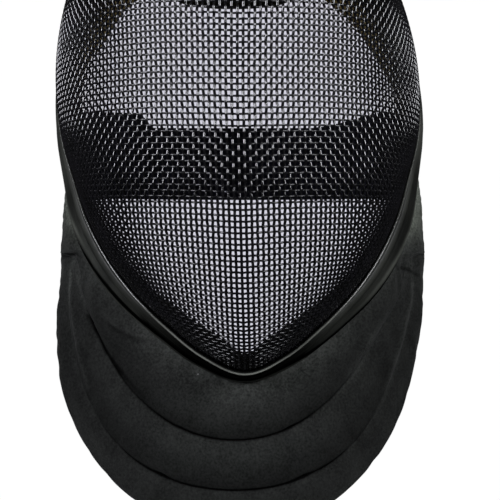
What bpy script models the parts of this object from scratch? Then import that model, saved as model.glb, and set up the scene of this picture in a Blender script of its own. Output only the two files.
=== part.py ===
"""Fencing mask: a woven wire cage with a trimmed edge, a quilted bib, linings, strap and tongue.

Every shape is worked out in the nose frame: +X to the right as seen from the front, +Y away
from the front, with y = 0 at the tip of the nose ridge, and +Z up, with z = 0 at mouth height.
The finished pieces stand with their origin where the crown of the head meets the lining.
"""

from collections import namedtuple
from math import atan2, cos, degrees, hypot, pi, radians, sin, sqrt

import bmesh
import bpy
from mathutils import Vector

# Cage: meridians fan out from the nose pole, at an angle from the chin (0) to the crown (180).
pole_height = 0.070
ridge_slope = 0.384
ridge_radius_low, ridge_radius_high = 0.008, 0.060
ridge_fade_from, ridge_fade_to = 0.090, 0.190
cage_wall = 0.0020
cage_sectors = 64
cage_front_rows, cage_back_rows, cage_row_growth = 11, 3, 1.1
rear_reach = 0.220

CageRow = namedtuple("CageRow", "angle radius depth roundness rim flare")
cage_rows = [
    CageRow(0, 0.1400, 0.090, 2.20, 0.070, 0.0060),
    CageRow(10, 0.1330, 0.088, 2.24, 0.0725, 0.0070),
    CageRow(20, 0.1228, 0.084, 2.36, 0.078, 0.0083),
    CageRow(30, 0.1152, 0.081, 2.54, 0.085, 0.0093),
    CageRow(45, 0.1078, 0.083, 2.80, 0.098, 0.0112),
    CageRow(60, 0.1036, 0.092, 2.94, 0.1115, 0.0102),
    CageRow(75, 0.1022, 0.103, 3.00, 0.1252, 0.0078),
    CageRow(90, 0.1064, 0.110, 3.00, 0.1375, 0.0045),
    CageRow(105, 0.1124, 0.114, 2.96, 0.149, 0.0030),
    CageRow(120, 0.1204, 0.116, 2.86, 0.160, 0.0025),
    CageRow(135, 0.1300, 0.114, 2.72, 0.171, 0.0025),
    CageRow(150, 0.1364, 0.110, 2.56, 0.180, 0.0025),
    CageRow(165, 0.1396, 0.104, 2.48, 0.186, 0.0025),
    CageRow(180, 0.1405, 0.102, 2.44, 0.188, 0.0025),
]

# The wire face stands a little out of true, leaning to one side, and more so above the eyes.
cage_lean = 0.025
crown_lean, crown_lean_from = 0.020, 0.080

# Where the crown of the head meets the lining, in the nose frame.
seat = Vector((0.0, 0.140, 0.1885))

# Trim: a channel round the flared edge of the mesh, with a piping cord along its front edge.
gap = 0.0003
slot_gap = 0.0006
trim_width = 0.018
trim_leather = 0.0018
edge_inset = 0.0025
piping_radius = 0.0011
leg_face = -cage_wall - slot_gap - trim_leather - 1.5 * gap

# Linings: width along the meridian, thickness, and how far the front edge stands off the wire.
LiningRow = namedtuple("LiningRow", "angle width thickness stand")
chin_lining_rows = [
    LiningRow(0, 0.0105, 0.0055, 0.0),
    LiningRow(8, 0.0180, 0.0065, 0.0),
    LiningRow(16, 0.0182, 0.0068, 0.0),
    LiningRow(24, 0.0155, 0.0060, 0.0),
    LiningRow(30, 0.0125, 0.0052, 0.0),
    LiningRow(36, 0.0090, 0.0040, 0.0),
    LiningRow(43, 0.0062, 0.0027, 0.0),
    LiningRow(50, 0.0048, 0.0022, 0.0),
    LiningRow(62, 0.0046, 0.0022, 0.0),
]
crown_lining_rows = [
    LiningRow(56, 0.0046, 0.0022, 0.0),
    LiningRow(64, 0.0060, 0.0026, 0.0),
    LiningRow(76, 0.0220, 0.0050, 0.0010),
    LiningRow(90, 0.044, 0.0075, 0.0030),
    LiningRow(105, 0.051, 0.0090, 0.0075),
    LiningRow(125, 0.062, 0.0125, 0.0210),
    LiningRow(145, 0.077, 0.0140, 0.0300),
    LiningRow(162, 0.069, 0.0130, 0.0240),
    LiningRow(180, 0.060, 0.0115, 0.0110),
]
lining_split = 59
lining_clearance = cage_wall + 3 * gap
lining_steps = 5

# Bib: seams and edge by their distance from the mouth, at an angle from straight down.
BibRow = namedtuple("BibRow", "angle seam_a seam_b edge")
bib_rows = [
    BibRow(0, 0.1078, 0.1362, 0.1600),
    BibRow(15, 0.1063, 0.1354, 0.1580),
    BibRow(30, 0.1020, 0.1314, 0.1505),
    BibRow(45, 0.0975, 0.1220, 0.1390),
    BibRow(60, 0.0950, 0.1118, 0.1252),
    BibRow(75, 0.0968, 0.1055, 0.1142),
    BibRow(83, 0.0976, 0.1018, 0.1108),
    BibRow(90, 0.0998, 0.1004, 0.1102),
    BibRow(100, 0.1110, 0.1110, 0.1112),
    BibRow(115, 0.1195, 0.1195, 0.1197),
    BibRow(130, 0.1400, 0.1400, 0.1402),
]
bib_front_depth = 0.081
bib_bulge = 0.004
bib_flap_blend, bib_flap_width = (60, 95), 0.014
bib_wrap = 5.2
bib_flap_sweep = 0.25
bib_lean, bib_lean_full, bib_lean_span = 0.0044, 0.45, 0.085
bib_seam_half, bib_puff_half = 0.0012, 0.0040
bib_front_puff, bib_puff_power, bib_full_width = 1.5, 0.6, 0.018
bib_across, bib_inside = 0.0026, -0.0040
bib_flap_top = 104
bib_fine_below = 72
bib_steps = 5
seam_gather = 88
tier_least = 0.003

# Strap and tongue.
strap_low, strap_high, tab_high = 0.0322, 0.0785, 0.0878
strap_back_depth = 0.196
strap_fixed_across, strap_leaves_across = 0.008, 0.0165
strap_pull, strap_slack = 0.030, 0.055
strap_cloth, tab_cloth = 0.0024, 0.0019
strap_steps = 11
tab_left_reach, tab_right_reach, tab_taper = 0.0575, 0.044, 0.052
tongue_spring_width, tongue_spring_steel = 0.026, 0.0015
tongue_arch = 0.0008
tongue_fixed_across, tongue_bend = 0.004, 0.012
tongue_pad_half_width, tongue_pad_half_height = 0.044, 0.021
tongue_pad_half_thickness = 0.0065
tongue_pad_roundness = 2.6
tongue_pad_depth, tongue_pad_height = 0.185, 0.1715
tongue_pad_lean = radians(24)


def smooth_value(rows, column, angle):
    """The column's value at this angle, on a smooth curve through the rows, the same on both sides."""
    angle = abs(angle)
    place = 0
    while place < len(rows) - 2 and angle > rows[place + 1].angle:
        place += 1
    low, high = rows[place], rows[place + 1]
    span = high.angle - low.angle
    before = rows[place - 1] if place else high._replace(angle=2 * low.angle - high.angle)
    after = rows[place + 2] if place + 2 < len(rows) else low._replace(angle=2 * high.angle - low.angle)
    first, second = getattr(low, column), getattr(high, column)
    rise_in = (second - getattr(before, column)) / (high.angle - before.angle) * span
    rise_out = (getattr(after, column) - first) / (after.angle - low.angle) * span
    t = min(max((angle - low.angle) / span, 0.0), 1.0)
    return (
        first * (2 * t**3 - 3 * t**2 + 1)
        + rise_in * (t**3 - 2 * t**2 + t)
        + second * (3 * t**2 - 2 * t**3)
        + rise_out * (t**3 - t**2)
    )


def eased(value, start, end):
    t = min(max((value - start) / (end - start), 0.0), 1.0)
    return t * t * (3 - 2 * t)


def sway(z):
    """How far the wire face leans to one side at this height."""
    return -cage_lean * z - crown_lean * max(z - crown_lean_from, 0.0)


def ridge_depth(x, z):
    """How far the cage falls back beside its middle ridge, which is sharp at the nose and soft above."""
    fade = eased(z, ridge_fade_from, ridge_fade_to)
    radius = ridge_radius_low + (ridge_radius_high - ridge_radius_low) * fade
    return ridge_slope * (hypot(x, radius) - radius)


def cage_point(angle, sweep):
    """A point of the cage's outside: sweep 0 is the nose pole, pi / 2 the widest place of the meridian."""
    radius = smooth_value(cage_rows, "radius", angle)
    depth = smooth_value(cage_rows, "depth", angle)
    power = 2 / smooth_value(cage_rows, "roundness", angle)
    if sweep <= pi / 2:
        reach = radius * sin(sweep) ** power
        y = depth * (1 - max(cos(sweep), 0.0) ** power)
    else:
        reach = radius * cos(sweep - pi / 2) ** power
        y = depth + rear_reach * sin(sweep - pi / 2) ** power
    x = reach * sin(radians(angle))
    z = pole_height - reach * cos(radians(angle))
    return Vector((x + sway(z), y + ridge_depth(x, z), z))


def rim_sweep(angle):
    """The sweep at which the meridian meets the front edge of the trim."""
    target = smooth_value(cage_rows, "rim", angle)
    low, high = 0.0, pi / 2 + 0.9
    for _ in range(40):
        middle = (low + high) / 2
        if cage_point(angle, middle).y < target:
            low = middle
        else:
            high = middle
    return low


class Rim:
    """The trim's own frame at one angle: start, width, out of its face, and out of the mesh before it."""

    def __init__(self, angle):
        step = 0.5
        self.angle = angle
        self.start = cage_point(angle, rim_sweep(angle))
        along = cage_point(angle + step, rim_sweep(angle + step))
        along -= cage_point(angle - step, rim_sweep(angle - step))
        along.normalize()
        outward = Vector((along.z, 0, -along.x)).normalized()
        if outward.dot(self.start - Vector((0, 0, pole_height))) < 0:
            outward.negate()
        flare = smooth_value(cage_rows, "flare", angle)
        width = outward * flare + Vector((0, sqrt(trim_width**2 - flare**2), 0))
        self.width = (width - along * width.dot(along)).normalized()
        self.out = self.width.cross(along).normalized()
        if self.out.dot(outward) < 0:
            self.out.negate()
        before = self.start - cage_point(angle, rim_sweep(angle) - 0.02)
        before = (before - along * before.dot(along)).normalized()
        self.mesh_out = before.cross(along).normalized()
        if self.mesh_out.dot(self.out) < 0:
            self.mesh_out.negate()

    def at(self, across, up):
        return self.start + self.width * across + self.out * up


def rim_ring(count):
    """Rims at even angles all the way round, from the crown by way of the chin."""
    return [Rim(360 * i / count - 180) for i in range(count)]


def material(name, colour, roughness, metallic=0.0):
    made = bpy.data.materials.new(name)
    made.use_nodes = True
    shader = made.node_tree.nodes["Principled BSDF"]
    shader.inputs["Base Color"].default_value = (*colour, 1)
    shader.inputs["Roughness"].default_value = roughness
    shader.inputs["Metallic"].default_value = metallic
    return made


def add_object(name, data, finish):
    """Puts the piece in the mask's collection, moved from the nose frame to the seat."""
    data.materials.append(finish)
    piece = bpy.data.objects.new(name, data)
    mask_collection.objects.link(piece)
    piece.parent = seat_empty
    piece.location = -seat
    return piece


def loft(name, rings, finish, closed_path=False, closed_ring=True, smooth_angle=40):
    """One skin through rings of equal length: a closed body, or an open sheet where closed_ring is False."""
    shape = bmesh.new()
    grid = [[shape.verts.new(point) for point in ring] for ring in rings]
    size = len(grid[0])
    across = size if closed_ring else size - 1
    along = len(grid) if closed_path else len(grid) - 1
    for i in range(along):
        here, there = grid[i], grid[(i + 1) % len(grid)]
        for j in range(across):
            k = (j + 1) % size
            shape.faces.new((here[j], here[k], there[k], there[j]))
    if closed_ring and not closed_path:
        shape.faces.new(grid[0])
        shape.faces.new(grid[-1])
    bmesh.ops.recalc_face_normals(shape, faces=shape.faces)
    mesh = bpy.data.meshes.new(name)
    shape.to_mesh(mesh)
    shape.free()
    mesh.shade_smooth()
    mesh.set_sharp_from_angle(angle=radians(smooth_angle))
    return add_object(name, mesh, finish)


def build_cage(rims):
    """The dome as an open sheet of meridians, given its wall by Solidify and flared under the trim."""
    flare_rows = (0.0, 0.5 * (trim_width - edge_inset), trim_width - edge_inset)
    shape = bmesh.new()
    pole = shape.verts.new((0, 0, pole_height))
    columns = []
    for rim in rims:
        last = rim_sweep(rim.angle)
        front = [last * (i / cage_front_rows) ** cage_row_growth for i in range(1, cage_front_rows)]
        left = last - front[-1]
        back = [last - left * (1 - i / cage_back_rows) for i in range(1, cage_back_rows)]
        points = [cage_point(rim.angle, sweep) for sweep in front + back]
        points += [rim.at(across, 0) for across in flare_rows]
        columns.append([shape.verts.new(point) for point in points])
    for i, here in enumerate(columns):
        there = columns[(i + 1) % len(columns)]
        shape.faces.new((pole, here[0], there[0]))
        for j in range(len(here) - 1):
            shape.faces.new((here[j], here[j + 1], there[j + 1], there[j]))
    bmesh.ops.recalc_face_normals(shape, faces=shape.faces)
    mesh = bpy.data.meshes.new("mesh_cage")
    shape.to_mesh(mesh)
    shape.free()
    mesh.shade_smooth()
    cage = add_object("mesh_cage", mesh, wire_finish)
    wall = cage.modifiers.new("wall", "SOLIDIFY")
    wall.thickness = cage_wall
    wall.offset = -1
    wall.use_even_offset = True


def build_trim(rims):
    """A channel that opens forwards and holds the edge of the mesh between its two legs."""
    outer, inner = slot_gap, -cage_wall - slot_gap
    edge = trim_width - edge_inset + gap
    front = piping_radius * 2 + 2 * gap
    profile = [
        (front, outer),
        (front, outer + 0.7 * trim_leather),
        (front + 0.5 * trim_leather, outer + trim_leather),
        (trim_width - 0.5 * trim_leather, outer + trim_leather),
        (trim_width + 0.3 * trim_leather, outer),
        (trim_width + 0.3 * trim_leather, inner),
        (trim_width - 0.5 * trim_leather, inner - trim_leather),
        (front, inner - trim_leather),
        (front, inner),
        (edge, inner),
        (edge, outer),
    ]
    rings = [[rim.at(across, up) for across, up in profile] for rim in rims]
    loft("trim_band", rings, trim_finish, closed_path=True)


def build_piping(rims):
    """A round cord in the corner between the mesh and the front edge of the trim."""
    curve = bpy.data.curves.new("trim_piping", "CURVE")
    curve.dimensions = "3D"
    curve.bevel_depth = piping_radius
    curve.bevel_resolution = 2
    line = curve.splines.new("POLY")
    line.points.add(len(rims) - 1)
    line.use_cyclic_u = True
    for point, rim in zip(line.points, rims):
        lean = (rim.out + rim.mesh_out).normalized()
        lift = (piping_radius + 1.6 * gap) / max(lean.dot(rim.out), 0.5)
        point.co = (*(rim.start + lean * lift), 1)
    add_object("trim_piping", curve, piping_finish)


def lining_ring(rim, rows, rows_angle):
    """A padded section inside the cage, from the trim's inner leg forwards along the meridian."""
    width = smooth_value(rows, "width", rows_angle)
    thickness = smooth_value(rows, "thickness", rows_angle)
    stand = smooth_value(rows, "stand", rows_angle)
    step = 0.01
    sweeps, travelled = [rim_sweep(rim.angle)], 0.0
    previous = cage_point(rim.angle, sweeps[0])
    while travelled < width:
        sweeps.append(sweeps[-1] - step)
        here = cage_point(rim.angle, sweeps[-1])
        travelled += (here - previous).length
        previous = here
    outside, inside = [], []
    for i in range(lining_steps):
        t = i / (lining_steps - 1)
        sweep = sweeps[round(t * (len(sweeps) - 1))]
        here = cage_point(rim.angle, sweep)
        ahead = cage_point(rim.angle, sweep - step) - cage_point(rim.angle, sweep + step)
        side = cage_point(rim.angle + 0.5, sweep) - cage_point(rim.angle - 0.5, sweep)
        inward = ahead.cross(side).normalized()
        if inward.dot(here - Vector((0, 0.1, pole_height))) > 0:
            inward.negate()
        swell = sin(pi * (t + 0.22) / 1.44) ** 0.5
        lift = lining_clearance + stand * t**1.5
        outside.append(here + inward * lift)
        inside.append(here + inward * (lift + thickness * swell))
    return outside + inside[::-1]


def build_linings(rims):
    """Two strips that meet end to end, their cut ends on the straight line between two rim stations."""
    share = 0.45
    after_crown = [rim for rim in rims if rim.angle > 0] + [rim for rim in rims if rim.angle < 0]
    lower = [rim for rim in rims if abs(rim.angle) < lining_split]
    upper = [rim for rim in after_crown if abs(rim.angle) > lining_split]
    for name, rows, run, beyond in (
        ("chin_lining", chin_lining_rows, lower, (upper[-1], upper[0])),
        ("crown_lining", crown_lining_rows, upper, (lower[-1], lower[0])),
    ):
        rings = [lining_ring(rim, rows, rim.angle) for rim in run]
        for place, rim in zip((0, -1), beyond):
            there = lining_ring(rim, rows, run[place].angle)
            end = [point.lerp(other, share) for point, other in zip(rings[place], there)]
            rings = [end] + rings if place == 0 else rings + [end]
        loft(name, rings, lining_finish)


def bib_point(reach, angle, start, edge_reach):
    """A point of the bib's middle surface, between the back of the trim and the bib's free edge."""
    x = reach * sin(radians(angle))
    z = -reach * cos(radians(angle))
    edge_x = edge_reach * sin(radians(angle))
    edge_z = -edge_reach * cos(radians(angle))
    edge_y = bib_front_depth + bib_wrap * edge_x**2 + bib_flap_sweep * max(edge_z, 0.0)
    flap = eased(abs(angle), *bib_flap_blend)
    edge_y = max(edge_y, start.y + bib_flap_width * flap)
    bulge = bib_bulge * (1 - flap)
    start_reach = hypot(start.x, start.z)
    t = (reach - start_reach) / max(edge_reach - start_reach, 0.001)
    t = min(max(t, 0.0), 1.0)
    y = start.y + (edge_y - start.y) * t - bulge * sin(pi * t)
    lean = bib_lean * eased(t, 0.0, bib_lean_full) * eased(-z, 0.0, bib_lean_span)
    return Vector((x - lean, y, z))


def bib_starts(rims):
    """Where the bib leaves the trim: behind each rim station, and halfway between them round the chin."""
    starts = [rim.at(trim_width + bib_across, bib_inside) for rim in rims]
    finer = []
    for rim, here, there in zip(rims, starts, starts[1:]):
        finer.append(here)
        if abs(rim.angle) < bib_fine_below:
            finer.append(here.lerp(there, 0.5))
    return finer + [starts[-1]]


def bib_tiers(rims):
    """The three padded tiers; each is a loft of leaf-shaped sections across its width."""
    tiers = {"bib_upper_tier": [], "bib_middle_tier": [], "bib_lower_tier": []}
    starts = bib_starts(rims)
    angles = [degrees(atan2(start.x, -start.z)) for start in starts]
    for start, angle, after, before in zip(starts, angles, angles[1:] + angles[-1:], angles[:1] + angles):
        inner = hypot(start.x, start.z)
        edge = max(smooth_value(bib_rows, "edge", angle), inner + tier_least)
        seam_a = min(max(smooth_value(bib_rows, "seam_a", angle), inner + tier_least), edge)
        seam_b = min(max(smooth_value(bib_rows, "seam_b", angle), seam_a + tier_least / 2), edge)
        if abs(angle) > seam_gather:
            seam_a = edge
        bounds = {"bib_upper_tier": (inner, seam_a)}
        if abs(angle) <= seam_gather:
            bounds["bib_middle_tier"] = (seam_a, seam_b)
            bounds["bib_lower_tier"] = (seam_b, edge)
        elif min(abs(before), abs(after)) <= seam_gather:
            bounds["bib_lower_tier"] = (edge, edge + tier_least / 2)
        for name, (low, high) in bounds.items():
            tiers[name].append(bib_section(low + gap, high - gap, angle, start, edge))
    for name, rings in tiers.items():
        loft(name, rings, bib_finish)


def bib_section(low, high, angle, start, edge):
    """A leaf across one tier: thin at its two seams and padded between, more so in front."""
    step = 0.001
    front, back = [], []
    side = Vector((cos(radians(angle)), 0, sin(radians(angle))))
    for i in range(bib_steps):
        t = i / (bib_steps - 1)
        reach = low + (high - low) * t
        here = bib_point(reach, angle, start, edge)
        across = bib_point(reach + step, angle, start, edge) - bib_point(reach - step, angle, start, edge)
        normal = side.cross(across).normalized()
        if normal.y > 0:
            normal.negate()
        puff = sin(pi * t) ** bib_puff_power * min(1.0, (high - low) / bib_full_width)
        half = bib_seam_half + (bib_puff_half - bib_seam_half) * puff
        front.append(here + normal * half * (1 + (bib_front_puff - 1) * puff))
        back.append(here - normal * half)
    return front + back[::-1]


def inner_leg(rims, height, across):
    """The point on the trim's inner leg at this height, on the side these rims are on."""
    for low, high in zip(rims, rims[1:]):
        first = low.at(across, leg_face)
        second = high.at(across, leg_face)
        if first.z <= height <= second.z:
            return first.lerp(second, (height - first.z) / (second.z - first.z))
    raise ValueError("no trim at this height")


def strap_path(side_rims, height):
    """Half of the strap's run in plan at one height: off the trim's inner leg, then round to the back."""
    fixed = inner_leg(side_rims, height, strap_fixed_across)
    leaves = inner_leg(side_rims, height, strap_leaves_across)
    back = Vector((sway(height), strap_back_depth, height))
    pull = leaves + (leaves - fixed).normalized() * strap_pull
    slack = back + Vector((strap_slack if leaves.x > 0 else -strap_slack, 0, 0))
    path = [fixed, fixed.lerp(leaves, 0.5)]
    for i in range(strap_steps):
        t = i / (strap_steps - 1)
        u = 1 - t
        path.append(leaves * u**3 + pull * 3 * u * u * t + slack * 3 * u * t * t + back * t**3)
    for point in path:
        point.z = height
    return path


def cut_at(path, reach):
    """The stretch of the path beyond this distance from the middle, ending exactly there."""
    kept = [point for point in path if abs(point.x) > reach]
    last, following = kept[-1], path[len(kept)]
    kept.append(last.lerp(following, (abs(last.x) - reach) / (abs(last.x) - abs(following.x))))
    return kept


def ribbon(name, rows, thickness, finish, inward=0.0):
    """A flat strip as a closed body: rows run up the strip, and its inner face keeps off by inward."""
    count = len(rows[0])
    outer, inner = [], []
    for row in rows:
        faces = []
        for i, point in enumerate(row):
            ahead = row[min(i + 1, count - 1)] - row[max(i - 1, 0)]
            normal = Vector((-ahead.y, ahead.x, 0)).normalized()
            if normal.dot(Vector((point.x, point.y - 0.1, 0))) > 0:
                normal.negate()
            faces.append((point + normal * inward, point + normal * (inward + thickness)))
        outer.append([face[0] for face in faces])
        inner.append([face[1] for face in faces])
    rings = []
    for i in range(count):
        rings.append([row[i] for row in outer] + [row[i] for row in inner[::-1]])
    return loft(name, rings, finish)


def build_strap():
    left_rims = [Rim(-55 - i) for i in range(56)]
    right_rims = [Rim(55 + i) for i in range(56)]
    rows = []
    for i in range(5):
        height = strap_low + (strap_high - strap_low) * i / 4
        rows.append(strap_path(left_rims, height) + strap_path(right_rims, height)[-2::-1])
    ribbon("back_strap", rows, strap_cloth, strap_finish)
    for name, rims, reach, taper in (
        ("strap_tab_left", left_rims, tab_left_reach, 0.0),
        ("strap_tab_right", right_rims, tab_right_reach, tab_taper),
    ):
        rows = []
        for i in range(5):
            height = strap_low + (tab_high - strap_low) * i / 4
            path = strap_path(rims, height)
            if taper:
                rise = (tab_high - strap_high) * i / 4
                levels = [height - rise * (1 - eased(abs(point.x), reach, reach + taper)) for point in path]
                path = [strap_path(rims, level)[j] for j, level in enumerate(levels)]
            rows.append(cut_at(path, reach))
        ribbon(name, rows, tab_cloth, strap_finish, inward=strap_cloth + 2 * gap)


def build_tongue():
    """A bent steel strip on the crown's inner leg, and the pad on its end."""
    rim = Rim(180)
    pad_centre = Vector((sway(tongue_pad_height), tongue_pad_depth, tongue_pad_height))
    lean = Vector((0, -sin(tongue_pad_lean), -cos(tongue_pad_lean)))
    face = Vector((0, cos(tongue_pad_lean), -sin(tongue_pad_lean)))
    pad_back = pad_centre + face * (tongue_pad_half_thickness + gap + tongue_spring_steel)
    seat_up = leg_face - tongue_arch
    start, leaves = rim.at(tongue_fixed_across, seat_up), rim.at(trim_width, seat_up)
    path = [start, leaves]
    bend = leaves + (leaves - start).normalized() * tongue_bend
    top = pad_back - lean * tongue_pad_half_height * 0.7
    for i in range(1, 7):
        t = i / 6
        path.append(leaves.lerp(bend, t).lerp(bend.lerp(top, t), t))
    path.append(pad_back + lean * tongue_pad_half_height * 0.3)
    rings = []
    for i, point in enumerate(path):
        ahead = path[min(i + 1, len(path) - 1)] - path[max(i - 1, 0)]
        thick = Vector((0, ahead.z, -ahead.y)).normalized() * tongue_spring_steel
        half = Vector((tongue_spring_width / 2, 0, 0))
        rings.append([point - half, point + half, point + half + thick, point - half + thick])
    loft("tongue_spring", rings, steel_finish, smooth_angle=30)

    shape = bmesh.new()
    bmesh.ops.create_uvsphere(shape, u_segments=20, v_segments=10, radius=1.0)
    for vert in shape.verts:
        x, y, z = vert.co
        reach = hypot(x, y)
        square = 1.0
        if reach > 1e-6:
            power = tongue_pad_roundness
            square = (abs(x / reach) ** power + abs(y / reach) ** power) ** (-1 / power)
        width = Vector((x * square * tongue_pad_half_width, 0, 0))
        height = lean * (y * square * tongue_pad_half_height)
        depth = face * (z * tongue_pad_half_thickness)
        vert.co = pad_centre + width + height + depth
    mesh = bpy.data.meshes.new("tongue_pad")
    shape.to_mesh(mesh)
    shape.free()
    mesh.shade_smooth()
    add_object("tongue_pad", mesh, lining_finish)


for old in list(bpy.data.objects):
    bpy.data.objects.remove(old)
mask_collection = bpy.data.collections.new("fencing_mask")
bpy.context.scene.collection.children.link(mask_collection)
seat_empty = bpy.data.objects.new("seat", None)
mask_collection.objects.link(seat_empty)

wire_finish = material("black_wire", (0.010, 0.010, 0.014), 0.38, 0.6)
trim_finish = material("trim_leather", (0.022, 0.022, 0.021), 0.48)
piping_finish = material("piping_cord", (0.10, 0.10, 0.10), 0.40)
bib_finish = material("bib_cloth", (0.016, 0.017, 0.018), 0.90)
lining_finish = material("lining_cloth", (0.008, 0.008, 0.009), 0.95)
strap_finish = material("strap_webbing", (0.010, 0.010, 0.013), 0.90)
steel_finish = material("spring_steel", (0.05, 0.05, 0.05), 0.35, 0.9)

whole_rim = rim_ring(cage_sectors)
bib_rim = [rim for rim in whole_rim if abs(rim.angle) <= bib_flap_top]
build_cage(whole_rim)
build_trim(whole_rim)
build_piping(whole_rim)
build_linings(whole_rim)
bib_tiers(bib_rim)
build_strap()
build_tongue()
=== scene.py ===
# Fencing mask: woven wire face, leather trim, quilted bib, linings, strap and tongue,
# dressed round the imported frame. Shapes are worked out in metres in the nose frame,
# with y = 0 at the tip of the nose ridge and z = 0 at mouth height, then moved to the seat.
import math

import bmesh
import bpy
import numpy as np
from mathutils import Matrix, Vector


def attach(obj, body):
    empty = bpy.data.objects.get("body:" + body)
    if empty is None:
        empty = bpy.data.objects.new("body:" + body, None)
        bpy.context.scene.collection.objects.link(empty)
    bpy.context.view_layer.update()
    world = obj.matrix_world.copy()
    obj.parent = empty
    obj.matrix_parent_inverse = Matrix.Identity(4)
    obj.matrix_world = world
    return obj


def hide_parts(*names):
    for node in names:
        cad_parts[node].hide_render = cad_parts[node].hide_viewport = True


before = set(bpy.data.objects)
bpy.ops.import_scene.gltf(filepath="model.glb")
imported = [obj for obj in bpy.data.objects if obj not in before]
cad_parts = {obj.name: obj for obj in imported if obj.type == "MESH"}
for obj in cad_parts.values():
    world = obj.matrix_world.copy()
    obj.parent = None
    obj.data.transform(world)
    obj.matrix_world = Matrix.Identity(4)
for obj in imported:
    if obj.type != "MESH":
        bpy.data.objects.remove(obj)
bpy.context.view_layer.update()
seat = np.array((0.0, 0.140, 0.1885))
gap = 0.0003

cameraView = {"eye": (0.0045, -0.890, -0.1885), "lens": 105.55, "sensorWidth": 36, "clipStart": 0.05}


def newObject(name, data, finish=None):
    if finish:
        data.materials.append(finish)
        data.shade_smooth()
    piece = bpy.data.objects.new(name, data)
    bpy.context.scene.collection.objects.link(piece)
    return piece


def makeCamera():
    data = bpy.data.cameras.new("photoCamera")
    data.lens = cameraView["lens"]
    data.sensor_width = cameraView["sensorWidth"]
    data.clip_start = cameraView["clipStart"]
    camera = newObject("photoCamera", data)
    camera.location = cameraView["eye"]
    camera.rotation_euler = (math.radians(90), 0, 0)
    bpy.context.scene.camera = camera


makeCamera()
print("camera placed")

# the wire face: meridians fan out from the nose pole, from the chin (0 degrees) to the crown (180)
wireFace = {
    "poleHeight": 0.070, "ridgeSlope": 0.384, "ridgeLow": 0.008, "ridgeHigh": 0.060, "fadeFrom": 0.090, "fadeTo": 0.190,
    "rearReach": 0.220, "lean": 0.025, "crownLean": 0.020, "crownFrom": 0.080, "wall": 0.0020,
}
cageRows = np.array([  # angle, radius, depth, roundness, rim, flare
    (0, 0.1400, 0.090, 2.20, 0.070, 0.0060),
    (10, 0.1330, 0.088, 2.24, 0.0725, 0.0070),
    (20, 0.1228, 0.084, 2.36, 0.078, 0.0083),
    (30, 0.1152, 0.081, 2.54, 0.085, 0.0093),
    (45, 0.1078, 0.083, 2.80, 0.098, 0.0112),
    (60, 0.1036, 0.092, 2.94, 0.1115, 0.0102),
    (75, 0.1022, 0.103, 3.00, 0.1252, 0.0078),
    (90, 0.1064, 0.110, 3.00, 0.1375, 0.0045),
    (105, 0.1124, 0.114, 2.96, 0.149, 0.0030),
    (120, 0.1204, 0.116, 2.86, 0.160, 0.0025),
    (135, 0.1300, 0.114, 2.72, 0.171, 0.0025),
    (150, 0.1364, 0.110, 2.56, 0.180, 0.0025),
    (165, 0.1396, 0.104, 2.48, 0.186, 0.0025),
    (180, 0.1405, 0.102, 2.44, 0.188, 0.0025),
])


def smoothRows(rows, angle):
    # every column at these angles, on a smooth curve through the rows
    angle = np.abs(np.asarray(angle, float))
    key = rows[:, 0]
    place = np.clip(np.searchsorted(key, angle, side="left") - 1, 0, len(key) - 2)
    low, high = rows[place], rows[place + 1]
    before, after = rows[np.maximum(place - 1, 0)], rows[np.minimum(place + 2, len(key) - 1)]
    first, last = place == 0, place == len(key) - 2
    before[first], after[last] = high[first], low[last]
    before[first, 0] = 2 * low[first, 0] - high[first, 0]
    after[last, 0] = 2 * high[last, 0] - low[last, 0]
    span = high[:, :1] - low[:, :1]
    riseIn = (high - before) / (high[:, :1] - before[:, :1]) * span
    riseOut = (after - low) / (after[:, :1] - low[:, :1]) * span
    t = np.clip((angle[:, None] - low[:, :1]) / span, 0, 1)
    return (low * (2 * t**3 - 3 * t**2 + 1) + riseIn * (t**3 - 2 * t**2 + t)
            + high * (3 * t**2 - 2 * t**3) + riseOut * (t**3 - t**2))


fineAngles = np.arange(0, 180.25, 0.5)
fineRows = smoothRows(cageRows, fineAngles)


def rowValue(angle, column):
    return np.interp(np.abs(angle), fineAngles, fineRows[:, column])


def eased(value, start, end):
    t = np.clip((value - start) / (end - start), 0, 1)
    return t * t * (3 - 2 * t)


def unit(vectors):
    return vectors / np.linalg.norm(vectors, axis=-1, keepdims=True)


def dot(a, b):
    return (a * b).sum(-1, keepdims=True)


def facing(vectors, way):
    return vectors * np.sign(dot(vectors, way))


def stacked(*parts):
    return np.stack(parts, -1)


def travelled(lines):
    # how far along its line each point is
    far = np.linalg.norm(np.diff(lines, axis=-2), axis=-1).cumsum(-1)
    return np.concatenate((0 * far[..., :1], far), -1)


def sway(z):
    # the face leans to one side, more so above the eyes
    return -wireFace["lean"] * z - wireFace["crownLean"] * np.maximum(z - wireFace["crownFrom"], 0)


def ridgeDepth(x, z):
    fade = eased(z, wireFace["fadeFrom"], wireFace["fadeTo"])
    radius = wireFace["ridgeLow"] + (wireFace["ridgeHigh"] - wireFace["ridgeLow"]) * fade
    return wireFace["ridgeSlope"] * (np.hypot(x, radius) - radius)


def cagePoint(angle, sweep):
    angle, sweep = np.broadcast_arrays(np.asarray(angle, float), np.asarray(sweep, float))
    radius, depth = rowValue(angle, 1), rowValue(angle, 2)
    power = 2 / rowValue(angle, 3)
    front = sweep <= math.pi / 2
    over = np.where(front, 0, sweep - math.pi / 2)
    under = np.where(front, sweep, 0)
    reach = radius * np.where(front, np.sin(under) ** power, np.cos(over) ** power)
    y = np.where(front, depth * (1 - np.maximum(np.cos(under), 0) ** power),
                 depth + wireFace["rearReach"] * np.sin(over) ** power)
    x = reach * np.sin(np.radians(angle))
    z = wireFace["poleHeight"] - reach * np.cos(np.radians(angle))
    return stacked(x + sway(z), y + ridgeDepth(x, z), z)


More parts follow.
